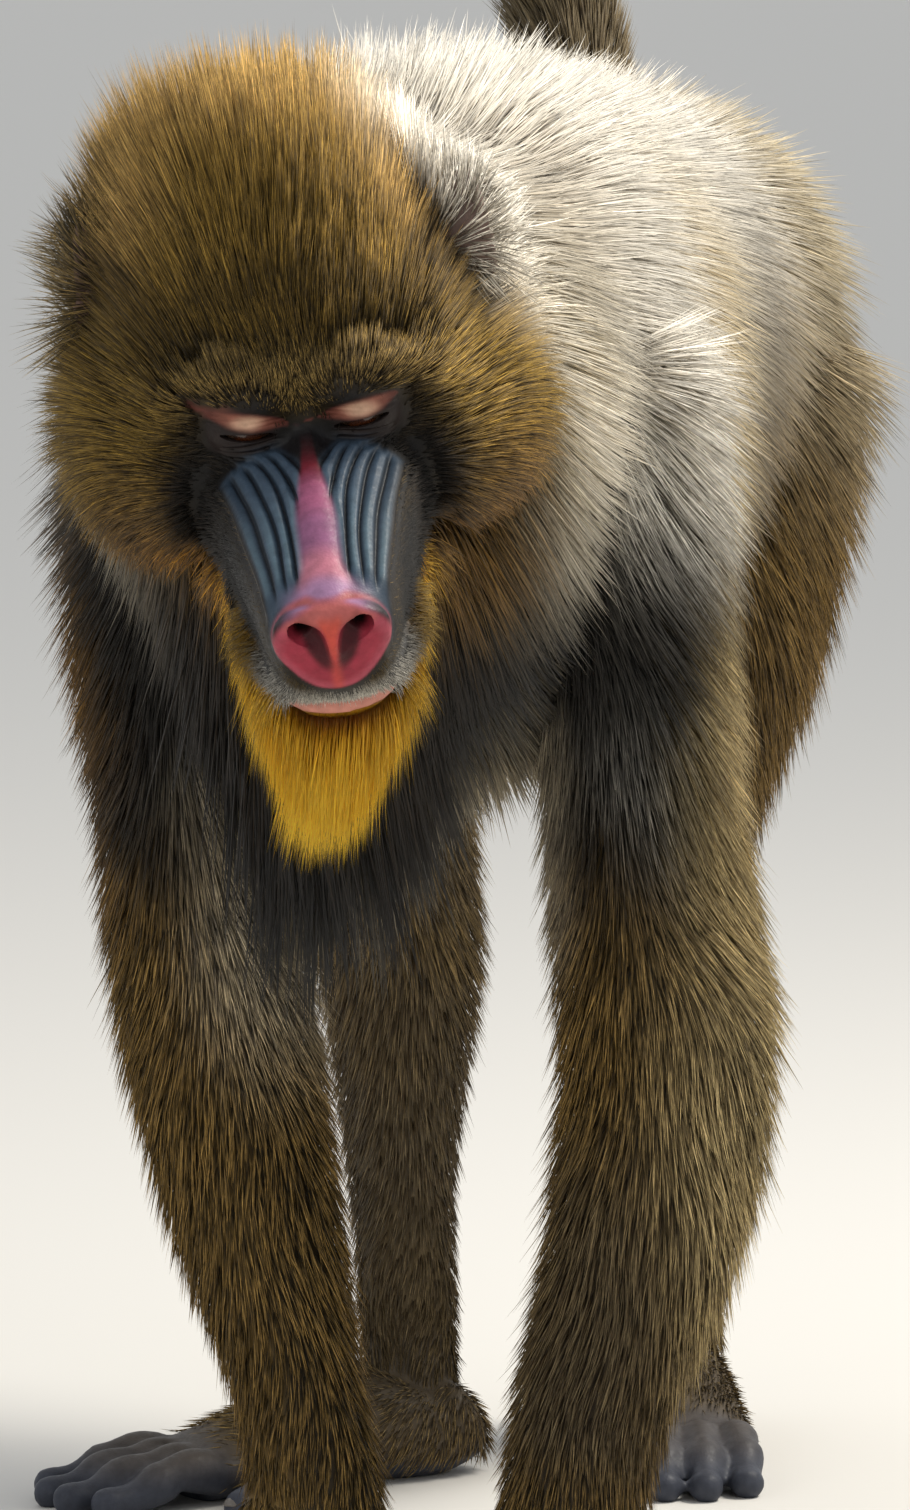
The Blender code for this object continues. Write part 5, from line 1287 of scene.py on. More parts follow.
# Guides of the beard, left side: place, how far forward and outward it hangs, length
BEARD_GUIDES = [
    ((0.9, 9.0, -6.5), 0.34, -0.08, 3.4), ((0.0, 7.4, -7.3), 0.28, 0.0, 5.6),
    ((2.2, 6.6, -6.6), 0.2, -0.16, 4.4), ((0.0, 4.6, -8.0), 0.22, 0.0, 6.4),
    ((2.6, 4.2, -7.4), 0.15, -0.22, 4.8), ((3.1, 5.0, -6.2), 0.15, -0.05, 3.4),
    ((0.0, 1.6, -8.4), 0.3, 0.0, 4.4), ((3.2, 1.6, -7.4), 0.2, -0.2, 3.4),
    ((3.6, 2.0, -6.2), 0.1, 0.0, 2.8), ((1.6, -0.8, -8.6), 0.25, 0.0, 2.8),
]
# The beard hangs a little to the animal's right, as in the photograph
BEARD_DRIFT = 0.13
# Roots of the tuft on the chest, across and from front to back, and the end that it hangs to
CHEST_TUFT_ACROSS = (-4.6, -3.6, -2.6, -1.6, -0.6)
CHEST_TUFT_ROWS = ((-33.0, 41.5), (-31.5, 40.2), (-30.0, 39.2), (-28.5, 38.4), (-27.0, 37.6), (-25.5, 37.0))
CHEST_TUFT_END = (-2.3, -29.5, 24.0)
# Guides on the backs of the hands and the feet: aside, and ahead with the height there
PAW_ASIDE = (-2.0, 0.0, 2.0)
HAND_BACK = ((2.2, 6.2), (4.2, 4.2), (6.0, 3.2))
FOOT_BACK = ((1.0, 4.4), (4.0, 4.6), (7.0, 3.8), (10.0, 2.8))


def tube_guides(comb, stations, share, choose, power=2.0, around=12, steps=2):
    """Sets guides in rings along a tube, where choose gives flow, piece, length, slope, width, density and
    clump at a row and an angle."""
    track = smooth_track(tube_rows(stations, share, body_point, 1.0), steps)
    for i, row in enumerate(track):
        along, across, deep = tube_axes(track, i, X_AXIS)
        for k in range(around):
            angle = 2 * math.pi * k / around
            out = ring_offset(angle, across, deep, row[3], row[4], power)
            setting = choose(i / steps, angle, along, out.normalized(), row[5] / CM)
            if setting:
                comb.add(Vector(row[:3]) + out, out.normalized(), *setting)


def trunk_guides(comb, share):
    """Mantle, back, flanks, belly and tail: the hair runs backwards and falls down the sides."""
    def torso(at, angle, along, out, coat):
        side_on = abs(math.cos(angle))
        if at < 2.4:
            piece = "mantle"
        elif math.sin(angle) > 0.62:
            piece = "belly"
        elif side_on < 0.72:
            piece = "back"
        else:
            piece = "flank_left" if math.cos(angle) > 0 else "flank_right"
        length = 1.5 * coat + 1.0
        flow = along - WORLD_UP * (0.25 + 0.65 * side_on) + (BACK * 0.4 if at < 2 else Vector())
        density = {"mantle": 12.0, "belly": 6.0}.get(piece, 11.0)
        return flow, piece, length, coat * (1 - share) / length * 0.85, 1.35, density, 0.2

    def neck(at, angle, along, out, coat):
        length = 1.5 * coat + 1.2
        flow = along - WORLD_UP * 0.55 + out * 0.1
        return flow, "mantle", length, coat * (1 - share) / length * 0.9, 1.25, 12.0, 0.2

    def belly(at, angle, along, out, coat):
        if math.sin(angle) < 0.2:
            return None
        return along - WORLD_UP * 0.2, "belly", 3.4, 0.25, 1.3, 6.5, 0.18

    def tail(at, angle, along, out, coat):
        return along + out * 0.25, "tail_tuft", 1.2 + 0.9 * coat, 0.4, 1.0, 24, 0.2, 0.2

    tube_guides(comb, TORSO, share, torso, power=SQUARE_TRUNK)
    tube_guides(comb, NECK, share, neck, power=SQUARE_NECK)
    tube_guides(comb, BELLY, share, belly, power=SQUARE_TRUNK)
    tube_guides(comb, TAIL, share, tail, around=8)


def limb_guides(comb, share, side, mirror):
    """One arm and one leg down to the wrist and the ankle, and short hair on the hand and the foot."""
    def leg(name, last, density):
        def choose(at, angle, along, out, coat):
            if at > last:
                return None
            length = (1.25 * coat + 0.75) * (1 + 0.35 * max(0.0, out.dot(BACK)))
            flow = along + BACK * (0.28 if at < 4 else 0.0) + X_AXIS * 0.12 * mirror + out * 0.05
            return flow, name, length, coat * (1 - share) / length * 0.9, 1.0, density, 0.14

        return choose

    def paw(name, first):
        def choose(at, angle, along, out, coat):
            if at < first:
                return None
            return along - BACK * 0.8, name, 1.2, 0.2, 1.0, 20, 0.15

        return choose

    tube_guides(comb, FORELEG[side], share, leg("arm_" + side, 7.2, 16.5), around=8)
    tube_guides(comb, FORELEG[side], share, paw("hand_hair", 7.4), around=6)
    tube_guides(comb, HINDLEG[side], share, leg("leg_" + side, 4.7, 12.0), around=8)
    tube_guides(comb, HINDLEG[side], share, paw("foot_hair", 4.8), around=6)
    x, y = FORELEG[side][7][:2]
    for ahead, z in HAND_BACK:
        for aside in PAW_ASIDE:
            spot = body_point(x + aside, y - ahead, z)
            comb.add(spot, (0, -0.4, 0.9), (0, -1, -0.6), "hand_hair", 1.3, 0.25, 0.9, 26, 0.1)
    place, _, toward = foot_place(side)
    for ahead, z in FOOT_BACK:
        for aside in PAW_ASIDE:
            comb.add(place(aside, ahead, z), WORLD_UP, toward, "foot_hair", 1.3, 0.25, 0.9, 18, 0.1)


def crest_guides(comb):
    """The crest stands up from the crown in a fan; beyond its edges the hair lies close."""
    for forward, angles, length in CREST_ROWS:
        for degrees in angles:
            angle = math.radians(degrees)
            ray = HEAD_LEFT * math.sin(angle) + HEAD_UP * math.cos(angle)
            close = not CREST_EDGES[0] < degrees < CREST_EDGES[1]
            aside = math.sin(angle) * (0.34 if degrees < 0 else -0.3)
            tall = 0.88 + 0.5 * float(step(-35, -65, degrees)) - 0.06 * float(step(30, 50, degrees))
            lie = WORLD_UP * 0.85 + ray * 0.34 + HEAD_LEFT * aside
            if close:
                lie = ray * 0.15 - HEAD_FORWARD - WORLD_UP * 0.2
            reach = 3.0 if forward > -2 else 5.0 if abs(degrees) > 60 else 4.4
            comb.add(head_point(0, forward, -0.3) + ray * reach * CM, ray, lie.normalized(),
                     "crest" if forward < -2 and not close else "forehead", 3.8 if close else length * tall,
                     0.6, 0.8, 125, 0.65, 0.1 if close else 0.95)


def face_guides(comb):
    """The guides of the face, the cheeks and the ruff, and those of the beard, on both sides."""
    rows = [(piece, *row) for piece, found in HEAD_GUIDES.items() for row in found]
    for piece, place, toward, length, slope, width, density, free in rows:
        for side, mirror in SIDES:
            if mirror < 0 and place[0] == 0:
                continue
            spot = head_point(*mirrored(place, mirror))
            flow = (HEAD_AXES @ Vector(mirrored(toward, mirror))).normalized()
            facing = (spot - head_point(0, place[1] - 1.0, -2.5)).normalized()
            comb.add(spot, facing, flow, piece.replace("_left", "_" + side), length, slope, width, density,
                     0.2 if length > 2 else 0.05, free)
    for place, ahead, aside, length in BEARD_GUIDES:
        for _, mirror in SIDES:
            spot = head_point(*mirrored(place, mirror))
            flow = HEAD_FORWARD * ahead + HEAD_LEFT * aside * mirror - WORLD_UP - X_AXIS * BEARD_DRIFT
            facing = (spot - head_point(0, place[1], -4.0)).normalized()
            comb.add(spot, facing, flow.normalized(), "beard", length, 0.5, 0.75, 90, 0.22, 1.0)


def chest_guides(comb):
    """The long tuft that hangs from the chest and runs together to one end."""
    end = Vector(CHEST_TUFT_END)
    for x in CHEST_TUFT_ACROSS:
        for y, z in CHEST_TUFT_ROWS:
            flow = (end - Vector((x, y, z))).normalized()
            comb.add(body_point(x, y, z), (0, -0.3, -0.95), flow, "chest_tuft", 17.0 - 1.8 * abs(x + 2.4), 0.5,
                     2.1, 13, 0.9, 1.0)


def coat_comb():
    """All the guides of the animal."""
    comb = Comb()
    share = bpy.context.scene.mandrill_skin.share
    trunk_guides(comb, share)
    for side, mirror in SIDES:
        limb_guides(comb, share, side, mirror)
    crest_guides(comb)
    face_guides(comb)
    chest_guides(comb)
    return comb.settle()


def unit(rows):
    return rows / np.maximum(np.linalg.norm(rows, axis=1), 1e-9)[:, None]


def scatter(skin, comb, draw, fullness):
    """Seeded roots over the skin, as many to each triangle as the guides ask for."""
    mesh = skin.data
    mesh.calc_loop_triangles()
    corners = np.empty(len(mesh.loop_triangles) * 3, np.int32)
    mesh.loop_triangles.foreach_get("vertices", corners)
    corners = corners.reshape(-1, 3)
    co, normals = coordinates(mesh), vectors(mesh.vertices, "normal")
    a, b, c = (co[corners[:, k]] for k in range(3))
    area = np.linalg.norm(np.cross(b - a, c - a), axis=1) / 2 / CM ** 2
    middle = (a + b + c) / 3
    facing = unit(normals[corners].sum(1))
    values, _ = comb.read(middle, facing)
    density = values[:, 6] * (1 - bare_places(middle, facing)) ** 2 * fullness
    for _, mirror in SIDES:
        eye = np.array(head_point(*mirrored(EYE_PLACE, mirror)))
        density[np.linalg.norm(middle - eye, axis=1) < EYE_RADIUS + 1.2 * MM] = 0.0
    total = np.cumsum(area * density)
    count = int(total[-1])
    marks = (np.arange(count) + draw.random(count)) * total[-1] / count
    owner = np.searchsorted(total, marks)
    u, v = draw.random(count), draw.random(count)
    over = u + v > 1
    u[over], v[over] = 1 - u[over], 1 - v[over]
    w = 1 - u - v
    roots = a[owner] * w[:, None] + b[owner] * u[:, None] + c[owner] * v[:, None]
    n = normals[corners[owner]]
    facing = unit(n[:, 0] * w[:, None] + n[:, 1] * u[:, None] + n[:, 2] * v[:, None])
    return roots, facing


# A wisp is widest at this share of its length, and its patch on the unwrap reaches this far each way
WIDEST = 0.5
PATCH = 0.0015


def tuft_mesh(name, points, tint, strand, patch):
    """A mesh of closed wisps with five points and six faces each, in the order of tuft_piece."""
    count = len(points)
    faces = np.array([(k, k % 3 + 1, 0) for k in (1, 2, 3)] + [(k, 4, k % 3 + 1) for k in (1, 2, 3)])
    corners = (faces[None] + (np.arange(count) * 5)[:, None, None]).reshape(-1)
    mesh = bpy.data.meshes.new(name)
    mesh.vertices.add(count * 5)
    mesh.vertices.foreach_set("co", points.astype(np.float32).ravel())
    mesh.loops.add(len(corners))
    mesh.loops.foreach_set("vertex_index", corners.astype(np.int32))
    mesh.polygons.add(len(corners) // 3)
    mesh.polygons.foreach_set("loop_start", np.arange(0, len(corners), 3, dtype=np.int32))
    mesh.update(calc_edges=True)
    colours = mesh.attributes.new("tint", "FLOAT_COLOR", "POINT")
    colours.data.foreach_set("color", tint.astype(np.float32).ravel())
    grain = mesh.attributes.new("strand", "FLOAT_VECTOR", "POINT")
    grain.data.foreach_set("vector", strand.astype(np.float32).ravel())
    layer = mesh.uv_layers.new(name="OFBake")
    layer.uv.foreach_set("vector", patch.reshape(-1, 2)[corners].astype(np.float32).ravel())
    mesh.shade_smooth()
    obj = bpy.data.objects.new(name, mesh)
    bpy.context.scene.collection.objects.link(obj)
    return obj


def tuft_piece(name, roots, bends, tips, across, half_width, root_colour, tip_colour, chart, draw, glints,
               tip_share):
    """Wisps with a point at the root, a ring of three where they are widest and a point at the tip, with their
    colours, their own grain and their place on the skin."""
    count = len(roots)
    u = WIDEST
    points = np.empty((count, 5, 3))
    tint = np.ones((count, 5, 4))
    strand = np.zeros((count, 5, 3))
    patch = np.empty((count, 5, 2))
    middle = roots * (1 - u) ** 2 + bends * 2 * u * (1 - u) + tips * u * u
    along = unit((bends - roots) * (1 - u) + (tips - bends) * u)
    side = unit(across - along * (across * along).sum(1)[:, None])
    out = np.cross(side, along)
    half = half_width[:, None]
    points[:, 0] = roots
    points[:, 1] = middle + (side - out * 0.25) * half
    points[:, 2] = middle + out * 0.55 * half
    points[:, 3] = middle - (side + out * 0.25) * half
    points[:, 4] = tips
    points[:, :, 2] = np.maximum(points[:, :, 2], 1 * MM)
    mix = (np.clip(u * draw.uniform(0.7, 1.25, count), 0, 1) ** tip_share)[:, None]
    tint[:, 0, :3] = root_colour
    tint[:, 1:4, :3] = (root_colour * (1 - mix) + tip_colour * mix)[:, None]
    tint[:, 4, :3] = tip_colour * glints[:, None]
    strand[:, :, 2] = draw.random(count)[:, None] * 50
    for k in (-1, 0, 1):
        strand[:, k + 2, 0] = k * half_width / MM
        patch[:, k + 2] = chart + np.array((k * PATCH, 0.0))
    strand[:, 1:4, 1] = u * 3
    strand[:, 4, 1] = 3
    patch[:, 0] = chart - np.array((0.0, PATCH))
    patch[:, 4] = chart + np.array((0.0, PATCH))
    return tuft_mesh(name, points, tint, strand, patch)


def first_word(name):
    return name.split("_")[0]


def comb_tufts(skin, draw, fullness, coarseness):
    """The whole coat, one object for each piece of it."""
    comb = coat_comb()
    roots, facing = scatter(skin, comb, draw, fullness)
    values, owners = comb.read(roots, facing)
    count = len(roots)
    flow = unit(values[:, 0:3].astype(float))
    length, slope, width = values[:, 3] * CM, values[:, 4], values[:, 5] * MM
    free, clump = values[:, 7], values[:, 8]
    tangent = unit(flow - facing * (flow * facing).sum(1)[:, None])
    work = in_work(roots)
    wave = np.sin(work @ np.array((0.9, 0.5, 0.7))) + np.sin(work @ np.array((-0.6, 0.8, 0.45)) + 1.3)
    swirl = np.cross(facing, flow) * (0.09 * wave)[:, None]
    jitter = draw.normal(0, 0.07, (count, 3)) + swirl
    lying = unit(tangent + facing * (slope * draw.uniform(0.6, 1.35, count))[:, None])
    free = free[:, None]
    lie = unit(lying * (1 - free) + flow * free + jitter)
    length = length * draw.uniform(0.72, 1.18, count)
    raised = unit(facing * 0.25 + lie * 0.75)
    start = roots - facing * 1.5 * MM
    bends = start + raised * (length * 0.42)[:, None]
    tips = bends + lie * (length * 0.6)[:, None]
    centres = draw.choice(count, count // 9, replace=False)
    lead = centres[nearest(roots, roots[centres])]
    pull = (clump * draw.uniform(0.5, 1.3, count))[:, None]
    tips = tips + (tips[lead] - tips) * pull
    bends = bends + (bends[lead] - bends) * pull * 0.45
    across = np.cross(lie, facing)
    weak = np.linalg.norm(across, axis=1) < 0.15
    across[weak] = np.cross(lie[weak], np.array(HEAD_FORWARD))
    across = unit(across)
    turn = draw.normal(0, 0.45, count)[:, None]
    across = across * np.cos(turn) + np.cross(lie, across) * np.sin(turn)
    root_colour, tip_colour = markings(roots)
    tone = np.exp(draw.normal(0, 0.13, count) + 0.05 * wave)[:, None]
    root_colour, tip_colour = root_colour * tone, tip_colour * tone
    banded = np.array([first_word(name) in BANDED for name in PIECES])[owners]
    luck = draw.random(count)
    pale, dark = luck < np.where(banded, 0.24, 0.12), luck > np.where(banded, 0.7, 0.9)
    tip_colour[pale] *= np.where(banded, 1.6, 1.2)[pale, None]
    tip_colour[dark] = tip_colour[dark] * 0.4 + root_colour[dark] * 0.35
    # Tips brightened at random are painted glints; on the crest they are brighter still, partly for its blond
    # tips and partly as painted light shining through them from behind
    glints = draw.uniform(0.9, 1.35, count) * np.where(owners == PIECES.index("crest"), 1.9, 1.0)
    made = []
    for index, name in enumerate(PIECES):
        mine = owners == index
        if not mine.any():
            raise RuntimeError("no hair was laid for " + name)
        chart = charted(roots[mine], name)
        made.append(tuft_piece("coat_" + name, start[mine], bends[mine], tips[mine], across[mine],
                               width[mine] * coarseness / 2 * draw.uniform(0.7, 1.25, mine.sum()),
                               root_colour[mine], tip_colour[mine], chart, draw, glints[mine],
                               BANDED.get(first_word(name), PLAIN)))
    return made


def nearest(points, centres):
    """For each point the nearest centre, by a tree."""
    tree = KDTree(len(centres))
    for k, centre in enumerate(centres):
        tree.insert(centre, k)
    tree.balance()
    return np.array([tree.find(p)[1] for p in points])


def charted(points, name):
    """Each root's place on an unwrap of the skin: rolled out round the limb, the trunk or the head."""
    work = in_work(points)
    if SLOTS.get(first_word(name)) == "head_coat":
        head = in_head(points) - np.array((0, -4, -3))
        around = np.arctan2(head[:, 0], head[:, 2])
        ahead = head[:, 1]
    elif name.startswith(("arm", "leg", "hand", "foot", "tail", "chest")):
        rising = np.array(sorted(limb_of(name), key=lambda station: station[2]))
        middle_x, middle_y = (np.interp(work[:, 2], rising[:, 2], rising[:, k]) for k in (0, 1))
        around = np.arctan2(work[:, 0] - middle_x, work[:, 1] - middle_y)
        ahead = work[:, 2]
    else:
        around = np.arctan2(work[:, 0], work[:, 2] - 48)
        ahead = work[:, 1]
    spots = np.stack([around, ahead], 1)
    low, high = spots.min(0), spots.max(0)
    return 0.01 + 0.98 * (spots - low) / np.maximum(high - low, 1e-6)


def limb_of(name):
    if name == "tail_tuft":
        return TAIL
    side = "right" if name.endswith("right") else "left"
    return (HINDLEG if name.startswith(("leg", "foot")) else FORELEG)[side]


# Materials


def add_node(tree, kind, links=(), **settings):
    """Adds a node, gives its properties and input values, and links (input, node, output) to it."""
    node = tree.nodes.new(kind)
    for key, value in settings.items():
        if key.startswith("in_"):
            node.inputs[int(key[3:])].default_value = value
        else:
            setattr(node, key, value)
    for target, source, output in links:
        tree.links.new(source.outputs[output], node.inputs[target])
    return node


def new_material(name, **finish):
    """A material and its shader, with the values of the shader's own sockets by their names."""
    material = bpy.data.materials.new(name)
    material.use_nodes = True
    shader = material.node_tree.nodes["Principled BSDF"]
    for key, value in finish.items():
        shader.inputs[key.replace("_", " ")].default_value = value
    return material, material.node_tree, shader


def wear(obj, material):
    obj.data.materials.clear()
    obj.data.materials.append(material)


def shade_with(tree, shader, pattern, low, high, links=(), **colour):
    """Darkens and lightens the base colour with a pattern, from low to high times."""
    level = add_node(tree, "ShaderNodeMapRange", [("Value", pattern, "Fac")], in_1=0.3, in_2=0.7, in_3=low,
                     in_4=high)
    shade = add_node(tree, "ShaderNodeVectorMath", [*links, ("Scale", level, "Result")], operation="SCALE",
                     **colour)
    tree.links.new(shade.outputs[0], shader.inputs["Base Color"])


def hair_material(name, roughness, sheen, contrast, bands):
    """Keratin hair: streaks along each tuft stand for its single hairs and give the coat its silky grain, and
    light and dark bands across them speckle it."""
    material, tree, shader = new_material(name, Roughness=roughness, IOR=1.55, Specular_IOR_Level=0.12,
                                          Sheen_Weight=sheen, Sheen_Roughness=0.4)
    tint = add_node(tree, "ShaderNodeAttribute", attribute_name="tint")
    strand = add_node(tree, "ShaderNodeAttribute", attribute_name="strand")
    # Hairs 0.35 mm apart are drawn, coarser than the real 0.1 mm, so that they show
    stretch = add_node(tree, "ShaderNodeVectorMath", [(0, strand, "Vector")], operation="MULTIPLY",
                       in_1=(2.8, bands, 1.0))
    streak = add_node(tree, "ShaderNodeTexNoise", [("Vector", stretch, 0)], in_2=1.0, in_3=2.0)
    shade_with(tree, shader, streak, 1.0 - contrast, 1.0 + contrast, [(0, tint, "Color")])
    bump = add_node(tree, "ShaderNodeBump", [("Height", streak, "Fac")], in_0=0.35, in_1=0.0004)
    tree.links.new(bump.outputs[0], shader.inputs["Normal"])
    return material


def skin_material():
    """Living skin, thick and slightly oily: fine pores and creases under a soft sheen, mottled in tone."""
    material, tree, shader = new_material("living skin", IOR=1.4, Specular_IOR_Level=0.3)
    tint = add_node(tree, "ShaderNodeAttribute", attribute_name="tint")
    place = add_node(tree, "ShaderNodeTexCoord")
    # Mottles about 6 mm across, pores about 0.9 mm apart, drawn a little coarser than the real ones
    spot = [("Vector", place, "Object")]
    mottle = add_node(tree, "ShaderNodeTexNoise", spot, in_2=170.0, in_3=4.0, in_4=0.6)
    pores = add_node(tree, "ShaderNodeTexVoronoi", spot, in_2=1100.0)
    creases = add_node(tree, "ShaderNodeTexNoise", spot, in_2=520.0, in_3=3.0, in_4=0.55)
    shade_with(tree, shader, mottle, 0.8, 1.18, [(0, tint, "Color")])
    pitted = add_node(tree, "ShaderNodeMath", [(0, pores, "Distance"), (1, creases, "Fac")], operation="ADD")
    bump = add_node(tree, "ShaderNodeBump", [("Height", pitted, 0)], in_0=0.16, in_1=0.0004)
    gloss = add_node(tree, "ShaderNodeMapRange", [("Value", creases, "Fac")], in_1=0.3, in_2=0.7, in_3=0.42,
                     in_4=0.62)
    tree.links.new(bump.outputs[0], shader.inputs["Normal"])
    tree.links.new(gloss.outputs[0], shader.inputs["Roughness"])
    return material


def eye_material():
    """Wet cornea over a brown iris: a clear coat gives the sharp glint, the white is stained brown."""
    material, tree, shader = new_material("wet eye", Roughness=0.25, IOR=1.376, Coat_Weight=1.0,
                                          Coat_Roughness=0.03)
    tint = add_node(tree, "ShaderNodeAttribute", attribute_name="tint")
    place = add_node(tree, "ShaderNodeTexCoord")
    # Iris fibres about 0.4 mm apart
    fibres = add_node(tree, "ShaderNodeTexNoise", [("Vector", place, "Object")], in_2=2500.0, in_3=2.0)
    shade_with(tree, shader, fibres, 0.75, 1.2, [(0, tint, "Color")])
    return material


def nail_material(colour):
    """Horn: hard keratin, with growth bands in it that mottle its colour and groove its surface."""
    material, tree, shader = new_material("nail horn", Roughness=0.38, IOR=1.54)
    place = add_node(tree, "ShaderNodeTexCoord")
    # Growth bands about 1.2 mm apart
    bands = add_node(tree, "ShaderNodeTexNoise", [("Vector", place, "Object")], in_2=800.0, in_3=3.0)
    shade_with(tree, shader, bands, 0.7, 1.2, in_0=tuple(colour))
    bump = add_node(tree, "ShaderNodeBump", [("Height", bands, "Fac")], in_0=0.3, in_1=0.0003)
    tree.links.new(bump.outputs[0], shader.inputs["Normal"])
    return material


def floor_material(colour):
    """Matt painted board: even and pale, with a faint roller texture."""
    material, tree, shader = new_material("matt floor paint", Base_Color=(*colour, 1.0), Roughness=0.8)
    place = add_node(tree, "ShaderNodeTexCoord")
    stipple = add_node(tree, "ShaderNodeTexNoise", [("Vector", place, "Object")], in_2=400.0)
    bump = add_node(tree, "ShaderNodeBump", [("Height", stipple, "Fac")], in_0=0.05, in_1=0.0003)
    tree.links.new(bump.outputs[0], shader.inputs["Normal"])
    return material


def set_tint(mesh, colours):
    layer = mesh.attributes.new("tint", "FLOAT_COLOR", "POINT")
    full = np.ones((len(colours), 4), np.float32)
    full[:, :3] = colours
    layer.data.foreach_set("color", full.ravel())


# Operators


class MANDRILL_OT_skin(bpy.types.Operator):
    """Model the one skin that stands for all of the flesh"""

    bl_idname = "mandrill.skin"
    bl_label = "Skin"

    def execute(self, context):
        settings = context.scene.mandrill_skin
        skin = build_skin(settings.share, settings.voxel)
        mesh = skin.data
        mesh.shade_smooth()
        set_tint(mesh, skin_colours(coordinates(mesh), vectors(mesh.vertices, "normal")))
        wear(skin, skin_material())
        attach(skin, BODY)
        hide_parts(*FLESH_NODES)
        return {"FINISHED"}


class MANDRILL_OT_eyes(bpy.types.Operator):
    """Model both eyes, with iris, pupil and a domed cornea"""

    bl_idname = "mandrill.eyes"
    bl_label = "Eyes"

    def execute(self, context):
        colours = context.scene.mandrill_eyes
        material = eye_material()
        for side, mirror in SIDES:
            centre = mirrored(EYE_PLACE, mirror)
            radius = EYE_RADIUS / CM * EYEBALL_SHARE
            eye = ball("eyeball_" + side, centre, (radius, radius, radius), segments=64, rings=40)
            only(eye)
            head = in_head(coordinates(eye.data)) - np.array(centre)
            gaze = np.array((0.0, math.cos(GAZE_DROP), math.sin(GAZE_DROP)))
            off = np.degrees(np.arccos(np.clip(unit(head) @ gaze, -1, 1)))
            dome = CORNEA_RISE * np.clip(1 - off / CORNEA_EDGE, 0, 1) ** 0.7
            spots = (head * (1 + dome[:, None]) + np.array(centre)) @ np.array(HEAD_AXES).T
            place_vertices(eye.data, (spots + np.array(HEAD_ORIGIN)) * CM + np.array(SHIFT))
            tone = np.tile(np.array(colours.white), (len(off), 1))
            rings = ((linear(IRIS_RIM), IRIS_RIM_EDGE), (colours.iris, IRIS_EDGE), (PUPIL, PUPIL_EDGE))
            for colour, edge in rings:
                tone = lay(tone, colour, 1 - step(*edge, off))
            set_tint(eye.data, tone)
            eye.data.shade_smooth()
            wear(eye, material)
            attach(eye, BODY)
            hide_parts("eye_" + side)
        return {"FINISHED"}


class MANDRILL_OT_nails(bpy.types.Operator):
    """Model the nails of the hands and the feet"""

    bl_idname = "mandrill.nails"
    bl_label = "Nails"

    def execute(self, context):
        material = nail_material(context.scene.mandrill_eyes.nail)
        for side, _ in SIDES:
            x, y = FORELEG[side][7][:2]
            place, _, ahead = foot_place(side)
            on_hand, on_foot = [], []
            for digit in DIGITS:
                aside, reach = digit_points(digit, FINGER_REACH, FINGER, FINGER_TIP)[-1][:2]
                on_hand.append((body_point(x + aside, y - reach - NAIL_AHEAD, FINGERNAIL_HEIGHT), NAIL_HALF))
                aside, reach = digit_points(digit, TOE_REACH, TOE, TOE_TIP)[-1][:2]
                on_foot.append((place(aside, reach + NAIL_AHEAD, TOENAIL_HEIGHT), NAIL_HALF))
            (aside, reach, height), half = THUMBNAIL
            on_hand.append((body_point(x + INNER[side] * aside, y - reach, height), half))
            (aside, reach, height), half = GREAT_TOENAIL
            on_foot.append((place(INNER[side] * aside, reach, height), half))
            self.lay_nails("nails_hand_" + side, on_hand, -BACK, material)
            self.lay_nails("nails_foot_" + side, on_foot, ahead, material)
        return {"FINISHED"}

    def lay_nails(self, name, rows, ahead, material):
        """Each nail is a flattened ball, cut flat below and arched across the tip of its digit."""
        made = []
        toward = (ahead - WORLD_UP * NAIL_SLOPE).normalized()
        side = toward.cross(WORLD_UP).normalized()
        up = side.cross(toward).normalized()
        for spot, half in rows:
            bpy.ops.object.select_all(action="DESELECT")
            bpy.ops.mesh.primitive_uv_sphere_add(segments=20, ring_count=12, radius=1.0)
            nail = bpy.context.object
            bpy.ops.object.mode_set(mode="EDIT")
            bpy.ops.mesh.select_all(action="SELECT")
            bpy.ops.mesh.bisect(plane_co=(0, 0, -0.2), plane_no=(0, 0, 1), use_fill=True, clear_inner=True)
            bpy.ops.object.mode_set(mode="OBJECT")
            co = coordinates(nail.data)
            co[:, 2] = co[:, 2] * 0.4 - 0.34 * co[:, 0] ** 2
            co = co * np.array((half, half * NAIL_LENGTH, half)) * CM
            turn = np.array((side, toward, up))
            place_vertices(nail.data, co @ turn + np.array(spot))
            if np.linalg.det(turn) < 0:
                nail.data.flip_normals()
            made.append(nail)
        nails = joined(made, name)
        nails.data.shade_smooth()
        wear(nails, material)
        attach(nails, BODY)


class MANDRILL_OT_coat(bpy.types.Operator):
    """Comb the whole coat over the skin, in pieces"""

    bl_idname = "mandrill.coat"
    bl_label = "Coat"

    def execute(self, context):
        settings = context.scene.mandrill_coat
        draw = np.random.default_rng(SEED)
        finishes = {
            "head": hair_material("banded crest and cheek hair", 0.5, 0.04, 0.62, 3.4),
            "limb": hair_material("banded limb hair", 0.5, 0.05, 0.4, 3.4),
            "beard": hair_material("fine beard hair", 0.55, 0.04, 0.22, 0.8),
            "coat": hair_material("silky body hair", 0.48, 0.08, 0.3, 1.2),
        }
        pieces = comb_tufts(bpy.data.objects["skin"], draw, settings.fullness, settings.coarseness)
        for name, piece in zip(PIECES, pieces):
            slot = SLOTS.get(first_word(name), "body_coat")
            kind = {"head_coat": "head", "arm_coat": "limb", "leg_coat": "limb"}.get(slot, "coat")
            wear(piece, finishes["beard" if name == "beard" else kind])
            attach(piece, BODY)
        return {"FINISHED"}


